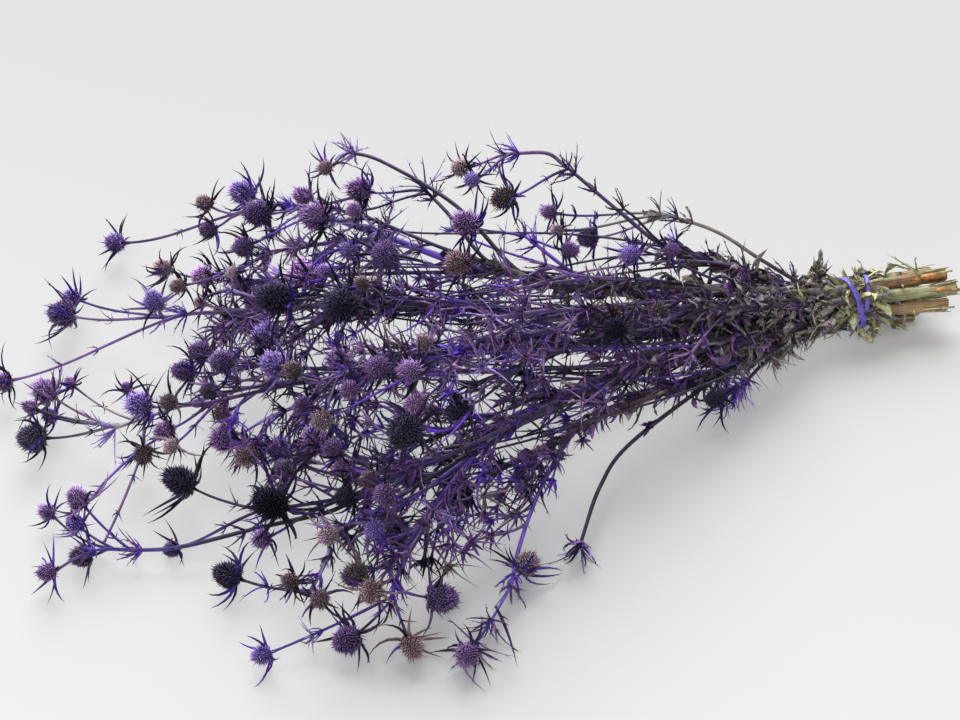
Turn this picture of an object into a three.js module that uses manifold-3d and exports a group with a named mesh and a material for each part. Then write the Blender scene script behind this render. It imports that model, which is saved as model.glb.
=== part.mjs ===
// A bunch of dried sea holly, dyed violet: nine branching stems lying on a surface, held by
// one flat band near their cut ends. Millimetres, +Z up, resting on z = 0, with the origin
// under the middle of the bunch and +X towards the cut ends.
//
// Each stem is one closed solid: its stalk and branches, the spiny leaves at every fork, the
// dried leaves along its lower half, and the flower heads with the bracts under them.

import * as THREE from "three";
import { mergeVertices } from "three/addons/utils/BufferGeometryUtils.js";
import Module from "manifold-3d";

const wasm = await Module();
wasm.setup();

// ---------------------------------------------------------------- driving dimensions

// The bunch is laid out on a slanted drawing, seen by an eye in front of it and above it.
// A place is [across, down, height]: steps of the drawing, and millimetres above z = 0.
const LAYOUT_WIDE = 960;
const LAYOUT_HIGH = 720;
const STEP = 0.6; // millimetres to a step, at the middle of the bunch
const VIEW_RISE = THREE.MathUtils.degToRad(40);
const EYE_DISTANCE = 1360;
const MIDDLE_HEIGHT = 45;
const BOX_FOOT = new THREE.Vector3(1.6, -24.6, 0.7); // the middle of the foot of the bunch's box

// The tied end: eight stems in a ring round the ninth.
const BUNDLE_HEIGHT = 18.2; // the bundle's middle line above the surface
const RING_RADIUS = 11.6;
const TIE_PLACE = [850, 303, BUNDLE_HEIGHT];
const ENDS_PLACE = [934, 292, BUNDLE_HEIGHT];
const ENDS_SPLAY = 1.13; // how far the cut ends stand apart, against the tied ring
const FAN_START = 30; // millimetres from the tie to where the stems part
const FAN_SPLAY = 1.12;

const TRUNK_RADIUS_TIP = 1.9;
const BRANCH_RADIUS = 1.75;
const BRANCH_RADIUS_TIP = 1.35;
const STALK_RADIUS = 0.85;
const STALK_RADIUS_TIP = 1.05;

const TRUNK_SIDES = 6;
const BRANCH_SIDES = 4;
const STALK_SIDES = 3;
const TRUNK_STEPS = 10;
const STALK_STEPS = 3;
const SHORT_STALK = 34; // a stalk up to this long has one step fewer
const STALK_SPACING = 3; // between the feet of two stalks of one fork

// A flower head, in shares of its size: from its foot up its axis, and out from the axis.
const BELLY = { along: 0.26, out: 0.33, spike: 0.27 };
const SHOULDER = { along: 0.64, out: 0.29, spike: 0.25 };
const CROWN = { along: 0.86, spike: 0.22 };
const HEAD_SINK = 0.42; // where the middle of a head is, up its axis
const HEAD_RISE = 0.22; // how far a head turns up from the run of its stalk
const LARGE_HEAD = 16; // larger heads have five sides, smaller ones four

const BRACT_THICK = 0.75;
const WHORL_STRETCH = 2.4; // the length of limb that a whorl's leaves grow from
const STRETCH_MARGIN = 0.5; // the least length of limb left on each side of it
const FORK_LEAF = 14;
const FORK_LEAF_BACK = 1.5; // behind the last stalk's foot
const DRY_LEAF = 19;
const DRY_WHORLS_BACK = [150, 190, 235, 285]; // back from the top of a stem
const LEAF_CHANCE = 0.7; // of a leaf on each face of a main stem's whorl

const BAND_WIDTH = 3.2;
const BAND_THICK = 1.1;
const BAND_INNER = 16.25; // radius inside, clear of the stems by 0.35
const BAND_SIDES = 16;
const BAND_TURNS = [
  // along the bundle from the tie's middle, tilt about the upright, tilt about the level line
  { along: -7.5, yaw: 0.2, pitch: 0.12 },
  { along: -1, yaw: -0.12, pitch: -0.2 },
  { along: 5, yaw: -0.28, pitch: 0.16 },
];

const GAP = 0.45; // the least clear distance between two stems
const HEAD_ROOM = 0.8; // the same between a head and anything else
const HEAD_CLEAR = { along: 0.8, out: 0.47 }; // the round rod that stands for a head there
const THIN_CLEAR = 0.8; // the radius kept clear round bracts and leaves
const FLOOR = 0.2; // the least height of a head above the surface
const THIN_FLOOR = 0.65; // the least height of their middle lines above the surface
const LIMB_FLOOR = 2; // the same for a limb
const LIMB_LIFTS = [0, 4, -4, 8, -8, 12, -12, 17, -17, 22, -22, 28, 34];
const HEAD_LIFTS = [0, 5, -5, 10, -10, 15, -15, 20, -20, 26, -26, 32, -32, 40, -40];
const BULGES = [0, 4, -4, 8, -8, 13, -13];

// ---------------------------------------------------------------- the stems' layout

// slot: place in the tied ring in eighths of a turn from the back, or null in the middle.
// cut: millimetres from the tie to the cut end. radius: at the cut end.
// route: places of the stem's own line, from the tie to its highest fork.
// heads: [across, down, size in steps, and the height above the fork where it matters].
// branches: at is the share of the parent's line where they leave it.
const STEMS = [
  {
    name: "stem_1", slot: 1, cut: 56, radius: 3.5,
    route: [[735, 268, 52], [665, 246, 70], [620, 212, 84], [568, 168, 96]],
    heads: [[504, 198, 28, -6]],
    branches: [
      { at: 0.3, route: [[760, 259, 50], [715, 231, 62], [660, 213, 70]],
        heads: [[549, 212, 18], [557, 230, 14], [588, 238, 24]] },
      { at: 1, route: [[545, 153, 101], [505, 154, 101]],
        heads: [[460, 168, 20], [472, 180, 18]] },
      { at: 0.62, route: [[665, 238, 74]], heads: [[630, 255, 22], [672, 250, 18]] },
      { at: 0.31, route: [[822, 262, 56]], heads: [] },
    ],
  },
  {
    name: "stem_2", slot: 2, cut: 62, radius: 4.1,
    route: [[740, 290, 50], [650, 285, 64], [560, 286, 76], [500, 267, 86]],
    heads: [[458, 263, 26]],
    branches: [
      { at: 0.78, route: [[525, 236, 92]], heads: [[466, 223, 30], [570, 250, 20, 4]] },
      { at: 1, route: [[450, 216, 94], [425, 190, 98]],
        heads: [[360, 190, 28], [355, 210, 18]] },
      { at: 0.95, route: [[440, 247, 88], [367, 217, 90]],
        heads: [[303, 196, 22], [315, 217, 30], [348, 250, 20], [385, 256, 34, 14]] },
      { at: 0.9, route: [[455, 205, 102], [383, 162, 108], [348, 152, 104]],
        heads: [[325, 168, 18]] },
    ],
  },
  {
    name: "stem_3", slot: 0, cut: 50, radius: 3.8,
    route: [[740, 292, 34], [640, 294, 45], [480, 268, 58], [390, 238, 66], [300, 207, 70]],
    heads: [[258, 213, 34], [243, 193, 30, 10], [243, 247, 24]],
    branches: [
      { at: 1, route: [[262, 206, 66], [232, 215, 60]],
        heads: [[205, 203, 20], [209, 230, 20, -8], [115, 243, 24, -44]] },
      { at: 0.86, route: [[330, 243, 66], [270, 252, 60]],
        heads: [[232, 272, 14], [238, 284, 16], [203, 276, 24], [178, 286, 18, -8]] },
      { at: 0.7, route: [[340, 275, 52], [255, 283, 40]],
        heads: [[163, 268, 22, -20], [252, 303, 18]] },
    ],
  },
  {
    name: "stem_4", slot: null, cut: 58, radius: 4,
    route: [[740, 312, 34], [640, 319, 45], [480, 312, 52], [370, 303, 58], [262, 311, 54]],
    heads: [[248, 328, 16], [200, 303, 14]],
    branches: [
      { at: 1, route: [[200, 313, 42], [163, 318, 34]],
        heads: [[154, 301, 24, 16], [72, 297, 20, -14], [62, 314, 32, -18], [3, 382, 22, -16]] },
      { at: 0.85, route: [[320, 318, 50]],
        heads: [[265, 336, 28], [262, 353, 18], [232, 319, 24, -20]] },
      { at: 0.74, route: [[385, 298, 76], [345, 288, 84]],
        heads: [[303, 275, 32], [325, 271, 16, 10], [275, 298, 40], [340, 306, 44, -12]] },
      { at: 0.62, route: [[430, 300, 70], [400, 294, 78]], heads: [[362, 283, 16]] },
    ],
  },
  {
    name: "stem_5", slot: 7, cut: 46, radius: 3.7,
    route: [[740, 320, 22], [640, 337, 20], [480, 352, 28], [370, 374, 32], [262, 386, 34]],
    heads: [[208, 391, 18], [222, 413, 20, -6]],
    branches: [
      { at: 1, route: [[200, 400, 34], [150, 416, 30], [115, 428, 26]],
        heads: [[45, 391, 28], [30, 407, 16], [50, 416, 18, -8], [33, 438, 32, -8],
          [70, 383, 14], [127, 388, 14], [143, 455, 22, -6]] },
      { at: 0.93, route: [[230, 398, 48], [205, 404, 50]],
        heads: [[140, 405, 28], [168, 402, 18, 8], [165, 431, 22], [171, 446, 16, -8]] },
      { at: 0.84, route: [[300, 368, 52], [262, 366, 60]],
        heads: [[200, 352, 24], [184, 371, 26], [222, 362, 26, 10]] },
      { at: 0.8, route: [[300, 405, 34], [268, 418, 34]],
        heads: [[225, 438, 30], [246, 455, 26, -8]] },
    ],
  },
  {
    name: "stem_6", slot: 3, cut: 66, radius: 4.2,
    route: [[740, 308, 54], [640, 313, 70], [530, 335, 88], [450, 350, 98], [392, 360, 100]],
    heads: [[338, 360, 24], [350, 390, 20], [378, 368, 26, 12]],
    branches: [
      { at: 1, route: [[345, 372, 94], [325, 384, 88]],
        heads: [[275, 365, 28], [293, 370, 20, 8], [303, 406, 22], [322, 420, 22, -8]] },
      { at: 0.84, route: [[458, 372, 92]],
        heads: [[410, 371, 24], [425, 343, 18, 14], [415, 405, 26], [405, 432, 40, -6]] },
      { at: 0.72, route: [[520, 368, 84]], heads: [[460, 411, 26, -8], [530, 381, 20, -10]] },
      { at: 0.55, route: [[650, 330, 78]], heads: [[612, 328, 20]] },
      { at: 0.6, route: [[560, 310, 96], [490, 318, 112]], heads: [] },
    ],
  },
  {
    name: "stem_7", slot: 6, cut: 44, radius: 3.6,
    route: [[740, 334, 16], [640, 372, 15], [540, 408, 18], [440, 455, 22], [345, 505, 22]],
    heads: [[285, 470, 22, 8]],
    branches: [
      { at: 1, route: [[262, 527, 18], [185, 546, 14], [143, 550, 12], [108, 549, 12]],
        heads: [[82, 556, 24, -2], [75, 523, 20], [47, 572, 20, -2], [47, 512, 18, 6],
          [78, 499, 24, 12]] },
      { at: 0.95, route: [[255, 512, 22]],
        heads: [[172, 549, 18, -10], [180, 481, 36, 4]] },
      { at: 0.85, route: [[345, 478, 40]],
        heads: [[280, 450, 28], [315, 440, 28, 10]] },
      { at: 0.9, route: [[310, 512, 26]], heads: [[262, 539, 20, -4], [270, 503, 40, 6]] },
    ],
  },
  {
    name: "stem_8", slot: 4, cut: 60, radius: 4.3,
    route: [[740, 344, 32], [640, 362, 40], [540, 412, 46], [480, 450, 44]],
    heads: [[410, 477, 26, -6]],
    branches: [
      { at: 1, route: [[432, 515, 34], [400, 570, 20], [390, 603, 14]],
        heads: [[347, 640, 30, -2], [262, 655, 20, -3], [412, 647, 24, -2], [442, 598, 32, 0]] },
      { at: 0.8, route: [[420, 468, 58], [392, 470, 62]],
        heads: [[335, 450, 22], [345, 468, 22, -4], [370, 480, 20, -12], [345, 497, 22, -16],
          [384, 495, 22]] },
      { at: 0.95, route: [[400, 506, 40], [364, 512, 36]],
        heads: [[328, 536, 20], [375, 530, 22], [396, 532, 32, -16]] },
      { at: 0.85, route: [[345, 531, 30], [330, 555, 22], [310, 592, 14]],
        heads: [[228, 575, 30, 0], [320, 599, 20], [290, 581, 18, 8]] },
      { at: 0.97, route: [[410, 540, 30], [392, 560, 24]],
        heads: [[355, 575, 26], [371, 592, 24, -6]] },
    ],
  },
  {
    name: "stem_9", slot: 5, cut: 40, radius: 3.9,
    route: [[790, 338, 17], [700, 378, 18], [610, 412, 19], [558, 440, 20], [490, 474, 22]],
    heads: [[455, 497, 40, 4]],
    branches: [
      { at: 0.8, route: [[540, 490, 20], [520, 545, 15], [511, 586, 12]],
        heads: [[467, 655, 24, 0], [527, 564, 26, 2]] },
      { at: 0.53, route: [[632, 442, 20], [600, 487, 18], [580, 545, 11]], heads: [] },
      { at: 0.36, route: [[740, 388, 15]], heads: [[715, 399, 24, -2]] },
      { at: 0.9, route: [[530, 470, 30]], heads: [[520, 487, 14]] },
    ],
  },
];

// ---------------------------------------------------------------- small tools

const UP = new THREE.Vector3(0, 0, 1);
const eye = new THREE.Vector3(
  0,
  -EYE_DISTANCE * Math.cos(VIEW_RISE),
  MIDDLE_HEIGHT + EYE_DISTANCE * Math.sin(VIEW_RISE),
);

// The point at a height on the eye's line of sight through a point of the drawing.
function place([across, down, height]) {
  const right = (across - LAYOUT_WIDE / 2) * STEP;
  const rise = (LAYOUT_HIGH / 2 - down) * STEP;
  const sight = new THREE.Vector3(
    right,
    EYE_DISTANCE * Math.cos(VIEW_RISE) + rise * Math.sin(VIEW_RISE),
    -EYE_DISTANCE * Math.sin(VIEW_RISE) + rise * Math.cos(VIEW_RISE),
  );
  return eye.clone().addScaledVector(sight, (height - eye.z) / sight.z).sub(BOX_FOOT);
}

// A repeatable stream of draws between 0 and 1 for one named thing.
function draws(seed) {
  let state = seed >>> 0;
  return () => {
    state = (state + 0x6d2b79f5) >>> 0;
    let mixed = Math.imul(state ^ (state >>> 15), state | 1);
    mixed ^= mixed + Math.imul(mixed ^ (mixed >>> 7), mixed | 61);
    return ((mixed ^ (mixed >>> 14)) >>> 0) / 4294967296;
  };
}

const between = (draw, low, high) => low + (high - low) * draw();

// Two directions square to a given one.
function squareTo(direction) {
  const helper = Math.abs(direction.z) < 0.9 ? UP : new THREE.Vector3(1, 0, 0);
  const side = helper.clone().cross(direction).normalize();
  return [side, direction.clone().cross(side)];
}

// A direction that leans from an axis by an angle, turned round it by another.
function leaning(axis, turn, lean) {
  const [side, other] = squareTo(axis);
  return axis.clone().multiplyScalar(Math.cos(lean))
    .addScaledVector(side, Math.sin(lean) * Math.cos(turn))
    .addScaledVector(other, Math.sin(lean) * Math.sin(turn));
}

function bezier(p0, p1, p2, p3, count) {
  return new THREE.CubicBezierCurve3(p0, p1, p2, p3).getPoints(count);
}

// ---------------------------------------------------------------- keeping clear

// Everything placed so far, as round rods: two ends and a radius, with the stem, the limb and
// the flower that own it, and the kind of part it is.
const rods = [];

function rodDistance(a0, a1, b0, b1) {
  const u = a1.clone().sub(a0);
  const v = b1.clone().sub(b0);
  const w = a0.clone().sub(b0);
  const uu = u.dot(u);
  const uv = u.dot(v);
  const vv = v.dot(v);
  const uw = u.dot(w);
  const vw = v.dot(w);
  const clamp = (x) => Math.min(1, Math.max(0, x));
  const spread = uu * vv - uv * uv;
  let s = spread > 1e-9 ? clamp((uv * vw - vv * uw) / spread) : 0;
  const t = clamp(vv > 1e-9 ? (uv * s + vw) / vv : 0);
  s = clamp(uu > 1e-9 ? (uv * t - uw) / uu : 0);
  return w.addScaledVector(u, s).addScaledVector(v, -t).length();
}

// The least room left between a line of points and every rod that skip doesn't pass over.
function room(points, radius, skip) {
  let least = Infinity;
  for (let i = 0; i + 1 < points.length; i += 1) {
    for (const rod of rods) {
      if (skip(rod)) continue;
      const clear = rodDistance(points[i], points[i + 1], rod.from, rod.to) - radius - rod.radius;
      if (clear < least) least = clear;
    }
  }
  return least;
}

function addRods(points, radius, owner) {
  for (let i = 0; i + 1 < points.length; i += 1) {
    rods.push({ from: points[i], to: points[i + 1], radius, ...owner });
  }
}

const lowest = (points, radius) => Math.min(...points.map((p) => p.z)) - radius;

// ---------------------------------------------------------------- growing the stems

const tiePoint = place(TIE_PLACE);
const bundleAxis = tiePoint.clone().sub(place(ENDS_PLACE)).normalize(); // away from the cut ends
const bundleBack = bundleAxis.clone().cross(UP).normalize();

// The stem's own line: parallel to its neighbours through the tie, then fanning out.
function trunkLine(stem) {
  const turn = stem.slot === null ? 0 : (stem.slot * Math.PI) / 4;
  const ring = stem.slot === null ? 0 : RING_RADIUS;
  const offset = bundleBack.clone().multiplyScalar(ring * Math.cos(turn));
  offset.addScaledVector(UP, ring * Math.sin(turn));
  const bundlePoint = (along, splay) =>
    tiePoint.clone().addScaledVector(bundleAxis, along).addScaledVector(offset, splay);
  const points = [
    bundlePoint(-stem.cut, ENDS_SPLAY),
    bundlePoint(-14, 1),
    bundlePoint(12, 1),
    bundlePoint(FAN_START, FAN_SPLAY),
    ...stem.route.map(place),
  ];
  return new THREE.CatmullRomCurve3(points, false, "catmullrom", 0.5);
}

// One turn of the band: a slanting slice of the bundle's round outline.
function bandRing({ along, yaw, pitch }, radius, slide) {
  const centre = tiePoint.clone().addScaledVector(bundleAxis, along + slide);
  const ring = [];
  for (let k = 0; k < BAND_SIDES; k += 1) {
    const turn = (k * 2 * Math.PI) / BAND_SIDES;
    const back = Math.cos(turn);
    const up = Math.sin(turn);
    ring.push(centre.clone()
      .addScaledVector(bundleBack, radius * back)
      .addScaledVector(UP, radius * up)
      .addScaledVector(bundleAxis, -radius * (back * Math.tan(yaw) + up * Math.tan(pitch))));
  }
  return ring;
}

// A line's points and its radius at each of them.
function tapered(points, thick, thin) {
  const last = points.length - 1;
  return points.map((point, i) => ({ point, radius: thick + ((thin - thick) * i) / last }));
}

const plants = STEMS.map((stem, index) => {
  const points = trunkLine(stem).getPoints(TRUNK_STEPS);
  addRods(points, stem.radius * 0.96, { stem: index, limb: 0, part: "limb" });
  const line = tapered(points, stem.radius, TRUNK_RADIUS_TIP);
  return { stem, index, limbs: [{ line, heads: stem.heads }] };
});

for (const turn of BAND_TURNS) {
  const ring = bandRing(turn, BAND_INNER + BAND_THICK / 2, 0);
  addRods([...ring, ring[0]], BAND_WIDTH / 2, { part: "band" });
}

// A branch leaves its parent at a point of its line, keeping to the parent's run at first.
function branchPoints(parent, branch, lift) {
  const along = branch.at * (parent.line.length - 1);
  const start = Math.min(parent.line.length - 2, Math.floor(along));
  const before = parent.line[start].point;
  const after = parent.line[start + 1].point;
  const from = before.clone().lerp(after, along - start);
  const run = after.clone().sub(before).normalize();
  const stops = branch.route.map(([across, down, height], i) =>
    place([across, down, height + (lift * (i + 1)) / branch.route.length]));
  const first = from.clone().addScaledVector(run, 0.3 * from.distanceTo(stops[0]));
  const away = stops[0].clone().sub(from).multiplyScalar(0.28).add(from);
  first.lerp(away, 0.5);
  const curve = new THREE.CatmullRomCurve3([from, first, ...stops], false, "catmullrom", 0.5);
  return curve.getPoints(1 + 2 * stops.length);
}

for (const plant of plants) {
  const [trunk] = plant.limbs;
  for (const branch of plant.stem.branches) {
    const limb = plant.limbs.length;
    let best = null;
    for (const lift of LIMB_LIFTS) {
      const points = branchPoints(trunk, branch, lift);
      const others = room(points, BRANCH_RADIUS, (rod) => rod.stem === plant.index);
      const own = room(points.slice(3), BRANCH_RADIUS, (rod) => rod.stem !== plant.index);
      const score = Math.min(others, own) + Math.min(0, lowest(points, LIMB_FLOOR));
      if (!best || score > best.score) best = { score, points };
      if (score >= GAP) break;
    }
    if (best.score < GAP) console.warn(plant.stem.name, "branch", branch.at, best.score);
    addRods(best.points, BRANCH_RADIUS, { stem: plant.index, limb, part: "limb" });
    const line = tapered(best.points, BRANCH_RADIUS, BRANCH_RADIUS_TIP);
    plant.limbs.push({ line, heads: branch.heads });
  }
}

// The point of a line at a distance back from its end, with the line's run there.
function pointBack(line, distance) {
  let left = distance;
  let i = line.length - 1;
  let long = line[i].point.distanceTo(line[i - 1].point);
  while (left > long && i > 1) {
    left -= long;
    i -= 1;
    long = line[i].point.distanceTo(line[i - 1].point);
  }
  const run = line[i].point.clone().sub(line[i - 1].point).normalize();
  return { point: line[i].point.clone().addScaledVector(run, -left), run };
}

// ---------------------------------------------------------------- flower heads

// A stalk from a fork to the foot of a head, with the head's own axis.
function stalkTo(limb, order, head, height, bulge) {
  const { point: tip, run } = pointBack(limb.line, 1 + order * STALK_SPACING);
  const size = head[2] * STEP;
  const middle = place([head[0], head[1], height]);
  const span = middle.clone().sub(tip);
  const axis = span.clone().normalize().addScaledVector(UP, HEAD_RISE).normalize();
  const foot = middle.clone().addScaledVector(axis, -HEAD_SINK * size);
  const reach = foot.distanceTo(tip);
  const leave = run.clone().multiplyScalar(0.25).add(span.normalize()).normalize();
  const p1 = tip.clone().addScaledVector(leave, reach * 0.38).addScaledVector(UP, bulge);
  const p2 = foot.clone().addScaledVector(axis, -reach * 0.34).addScaledVector(UP, bulge);
  const steps = reach > SHORT_STALK ? STALK_STEPS : STALK_STEPS - 1;
  return { points: bezier(tip, p1, p2, foot, steps), axis, foot, size };
}

// A head on its stalk, at the first height near the wanted one that keeps it clear.
function placeHead(plant, limbNumber, order, head, number) {
  const limb = plant.limbs[limbNumber];
  const draw = draws(plant.index * 1000 + number * 17 + head[0]);
  const wanted = limb.line[limb.line.length - 1].point.z + (head[3] ?? between(draw, -8, 14));
  const size = head[2] * STEP;
  const fromLimb = (rod) => rod.stem === plant.index && rod.limb === limbNumber;
  const growsHere = (rod) => fromLimb(rod) && rod.part === "limb";
  let best = null;
  for (const lift of HEAD_LIFTS) {
    for (const bulge of BULGES) {
      const height = Math.max(size * 0.5 + FLOOR, wanted + lift);
      const stalk = stalkTo(limb, order, head, height, bulge);
      const crown = stalk.foot.clone().addScaledVector(stalk.axis, size * HEAD_CLEAR.along);
      const body = [stalk.foot, crown];
      const bodyRoom = room(body, size * HEAD_CLEAR.out, growsHere) - HEAD_ROOM;
      if (best && bodyRoom < Math.min(best.score, GAP)) continue;
      const others = room(stalk.points, STALK_RADIUS_TIP, (rod) => rod.stem === plant.index);
      const own = room(stalk.points.slice(1), STALK_RADIUS_TIP,
        (rod) => rod.stem !== plant.index || (fromLimb(rod) && rod.part !== "head"));
      const floorRoom = Math.min(0, lowest(stalk.points, STALK_RADIUS_TIP));
      const score = Math.min(bodyRoom, others, own + 0.3, GAP + 0.4) + floorRoom * 2;
      if (!best || score > best.score) best = { score, ...stalk, body };
      if (best.score >= GAP) break;
    }
    if (best && best.score >= GAP) break;
  }
  if (best.score < GAP) console.warn(plant.stem.name, "head", head.join(), best.score.toFixed(2));
  const owner = { stem: plant.index, limb: limbNumber, flower: number };
  addRods(best.points, STALK_RADIUS_TIP, { ...owner, part: "stalk" });
  addRods(best.body, best.size * HEAD_CLEAR.out, { ...owner, part: "head" });
  return { ...best, number, draw };
}

for (const plant of plants) {
  plant.flowers = [];
  plant.limbs.forEach((limb, i) => {
    limb.heads.forEach((head, order) => {
      plant.flowers.push(placeHead(plant, i, order, head, plant.flowers.length + 1));
    });
  });
}

// ---------------------------------------------------------------- bracts and leaves

// A spine from a root: it leaves along one lean from the axis and curls to another.
function spine(root, axis, turn, lean, curl, length) {
  const middle = root.clone().addScaledVector(leaning(axis, turn, lean), length * 0.5);
  const tip = middle.clone().addScaledVector(leaning(axis, turn, lean + curl), length * 0.5);
  return [root, middle, tip];
}

// The first of several tries that keeps clear of everything but its own root.
function clearSpine(tries, make, skip) {
  let best = null;
  for (let i = 0; i < tries; i += 1) {
    const points = make(i);
    const floorRoom = lowest(points, THIN_FLOOR);
    const clear = Math.min(room(points, THIN_CLEAR, skip), floorRoom + GAP);
    if (!best || clear > best.clear) best = { clear, points };
    if (clear >= GAP) break;
  }
  return best;
}

// The bracts under a head, one in each of its sectors.
function growBracts(plant, flower) {
  const { draw, axis, foot, size } = flower;
  const sectors = size >= LARGE_HEAD ? 5 : 4;
  flower.bracts = [];
  for (let k = 0; k < sectors; k += 1) {
    const turn = ((k + 0.5) * 2 * Math.PI) / sectors;
    const length = (0.75 * size + 5) * between(draw, 0.85, 1.15);
    const root = foot.clone().addScaledVector(leaning(axis, turn, Math.PI / 2), 1.6);
    const own = (rod) => rod.stem === plant.index
      && (rod.flower === flower.number || rod.part === "limb");
    const make = (attempt) => spine(root, axis, turn + between(draw, -0.35, 0.35),
      between(draw, 0.95, 1.6), between(draw, -0.65, 0.5), length * (attempt < 8 ? 1 : 0.6));
    const found = clearSpine(14, make, own);
    if (found.clear < GAP) {
      found.points = spine(root, axis, turn, 1.2, 0, 3);
    } else {
      const owner = { stem: plant.index, flower: flower.number, part: "bract" };
      addRods(found.points, THIN_CLEAR, owner);
    }
    flower.bracts.push(found.points);
  }
}

for (const plant of plants) {
  for (const flower of plant.flowers) growBracts(plant, flower);
}

// A line with a short stretch set into it at a distance back from its end, for a whorl.
function withStretch(line, back) {
  let left = back;
  for (let i = line.length - 1; i > 0; i -= 1) {
    const [end, before] = [line[i], line[i - 1]];
    const long = end.point.distanceTo(before.point);
    if (left + WHORL_STRETCH + STRETCH_MARGIN < long) {
      const stop = (distance) => ({
        point: end.point.clone().lerp(before.point, distance / long),
        radius: end.radius + ((before.radius - end.radius) * distance) / long,
      });
      const stretch = [{ ...stop(left + WHORL_STRETCH), whorl: true }, stop(left)];
      return [...line.slice(0, i), ...stretch, ...line.slice(i)];
    }
    left = Math.max(STRETCH_MARGIN, left - long);
  }
  return line;
}

// The direction of a line at each point, and one square to it carried back without twist.
function framesAlong(line) {
  const last = line.length - 1;
  const frames = line.map((_, i) => {
    const ahead = line[Math.min(last, i + 1)].point;
    const behind = line[Math.max(0, i - 1)].point;
    return { run: ahead.clone().sub(behind).normalize() };
  });
  let [side] = squareTo(frames[last].run);
  for (let i = last; i >= 0; i -= 1) {
    const { run } = frames[i];
    side = side.clone().addScaledVector(run, -side.dot(run)).normalize();
    frames[i].side = side;
    frames[i].other = run.clone().cross(side);
  }
  return frames;
}

// A whorl of spiny leaves, one on each chosen face of a limb's short stretch.
function growWhorl(plant, limb, station, sides, length, draw) {
  const frame = framesAlong(limb.line)[station];
  const foot = limb.line[station].point.clone().lerp(limb.line[station + 1].point, 0.5);
  const thick = limb.line[station].radius * Math.cos(Math.PI / sides);
  limb.line[station].leaves = [];
  for (let k = 0; k < sides; k += 1) {
    limb.line[station].leaves.push(null);
    if (sides === TRUNK_SIDES && draw() > LEAF_CHANCE) continue;
    const reach = length * between(draw, 0.7, 1.25);
    const facing = ((k + 0.5) * 2 * Math.PI) / sides;
    const out = (turn, lean) => frame.run.clone().multiplyScalar(Math.cos(lean))
      .addScaledVector(frame.side, Math.sin(lean) * Math.cos(turn))
      .addScaledVector(frame.other, Math.sin(lean) * Math.sin(turn));
    const base = foot.clone().addScaledVector(out(facing, Math.PI / 2), thick);
    const make = (attempt) => {
      const run = out(facing + between(draw, -0.3, 0.3), between(draw, 0.65, 1.3));
      const tip = base.clone().addScaledVector(run, reach * (attempt < 8 ? 1 : 0.6));
      return [base.clone().lerp(tip, 0.15), tip];
    };
    const own = (rod) => rod.stem === plant.index && rod.part !== "head" && rod.part !== "bract";
    const found = clearSpine(12, make, own);
    if (found.clear < GAP) continue;
    addRods(found.points, THIN_CLEAR, { stem: plant.index, part: "leaf" });
    limb.line[station].leaves[k] = found.points[1];
  }
}

for (const plant of plants) {
  plant.limbs.forEach((limb, i) => {
    const draw = draws(plant.index * 100 + i + 7);
    const sides = i === 0 ? TRUNK_SIDES : BRANCH_SIDES;
    const backs = [FORK_LEAF_BACK + STALK_SPACING * limb.heads.length];
    if (i === 0) backs.push(...DRY_WHORLS_BACK.map((back) => back * between(draw, 0.9, 1.1)));
    for (const back of backs) limb.line = withStretch(limb.line, back);
    limb.line.forEach((stop, station) => {
      if (!stop.whorl) return;
      const atFork = station > limb.line.length - 5;
      growWhorl(plant, limb, station, sides, atFork ? FORK_LEAF : DRY_LEAF, draw);
    });
  });
}

// ---------------------------------------------------------------- solids

class Shell {
  constructor() {
    this.positions = [];
    this.faces = [];
  }

  point(vector) {
    this.positions.push(vector.x, vector.y, vector.z);
    return this.positions.length / 3 - 1;
  }

  at(index) {
    return new THREE.Vector3().fromArray(this.positions, index * 3);
  }

  face(a, b, c) {
    this.faces.push(a, b, c);
  }

  // Both triangles of the strip between two rings of equal count.
  band(low, high) {
    low.forEach((a, i) => {
      const b = low[(i + 1) % low.length];
      const c = high[(i + 1) % high.length];
      const d = high[i];
      this.face(a, b, c);
      this.face(a, c, d);
    });
  }

  cap(ring) {
    for (let i = 2; i < ring.length; i += 1) this.face(ring[0], ring[i - 1], ring[i]);
  }

  fan(ring, tip) {
    ring.forEach((a, i) => this.face(a, ring[(i + 1) % ring.length], tip));
  }

  geometry() {
    const geometry = new THREE.BufferGeometry();
    geometry.setAttribute("position", new THREE.Float32BufferAttribute(this.positions, 3));
    geometry.setIndex(this.faces);
    return geometry;
  }
}

function solid(geometry) {
  const bare = geometry.clone();
  bare.deleteAttribute("normal");
  bare.deleteAttribute("uv");
  const merged = mergeVertices(bare, 1e-5);
  return new wasm.Manifold(new wasm.Mesh({
    numProp: 3,
    vertProperties: new Float32Array(merged.attributes.position.array),
    triVerts: new Uint32Array(merged.index.array),
  }));
}

function geometryOf(manifold) {
  const mesh = manifold.getMesh();
  const geometry = new THREE.BufferGeometry();
  geometry.setAttribute("position", new THREE.BufferAttribute(mesh.vertProperties, 3));
  geometry.setIndex(new THREE.BufferAttribute(mesh.triVerts, 1));
  geometry.computeVertexNormals();
  return geometry;
}

// Rings of points round a line.
function ringsAlong(shell, line, sides) {
  return framesAlong(line).map(({ side, other }, i) => {
    const ring = [];
    for (let k = 0; k < sides; k += 1) {
      const turn = (k * 2 * Math.PI) / sides;
      ring.push(shell.point(line[i].point.clone()
        .addScaledVector(side, line[i].radius * Math.cos(turn))
        .addScaledVector(other, line[i].radius * Math.sin(turn))));
    }
    return ring;
  });
}

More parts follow.
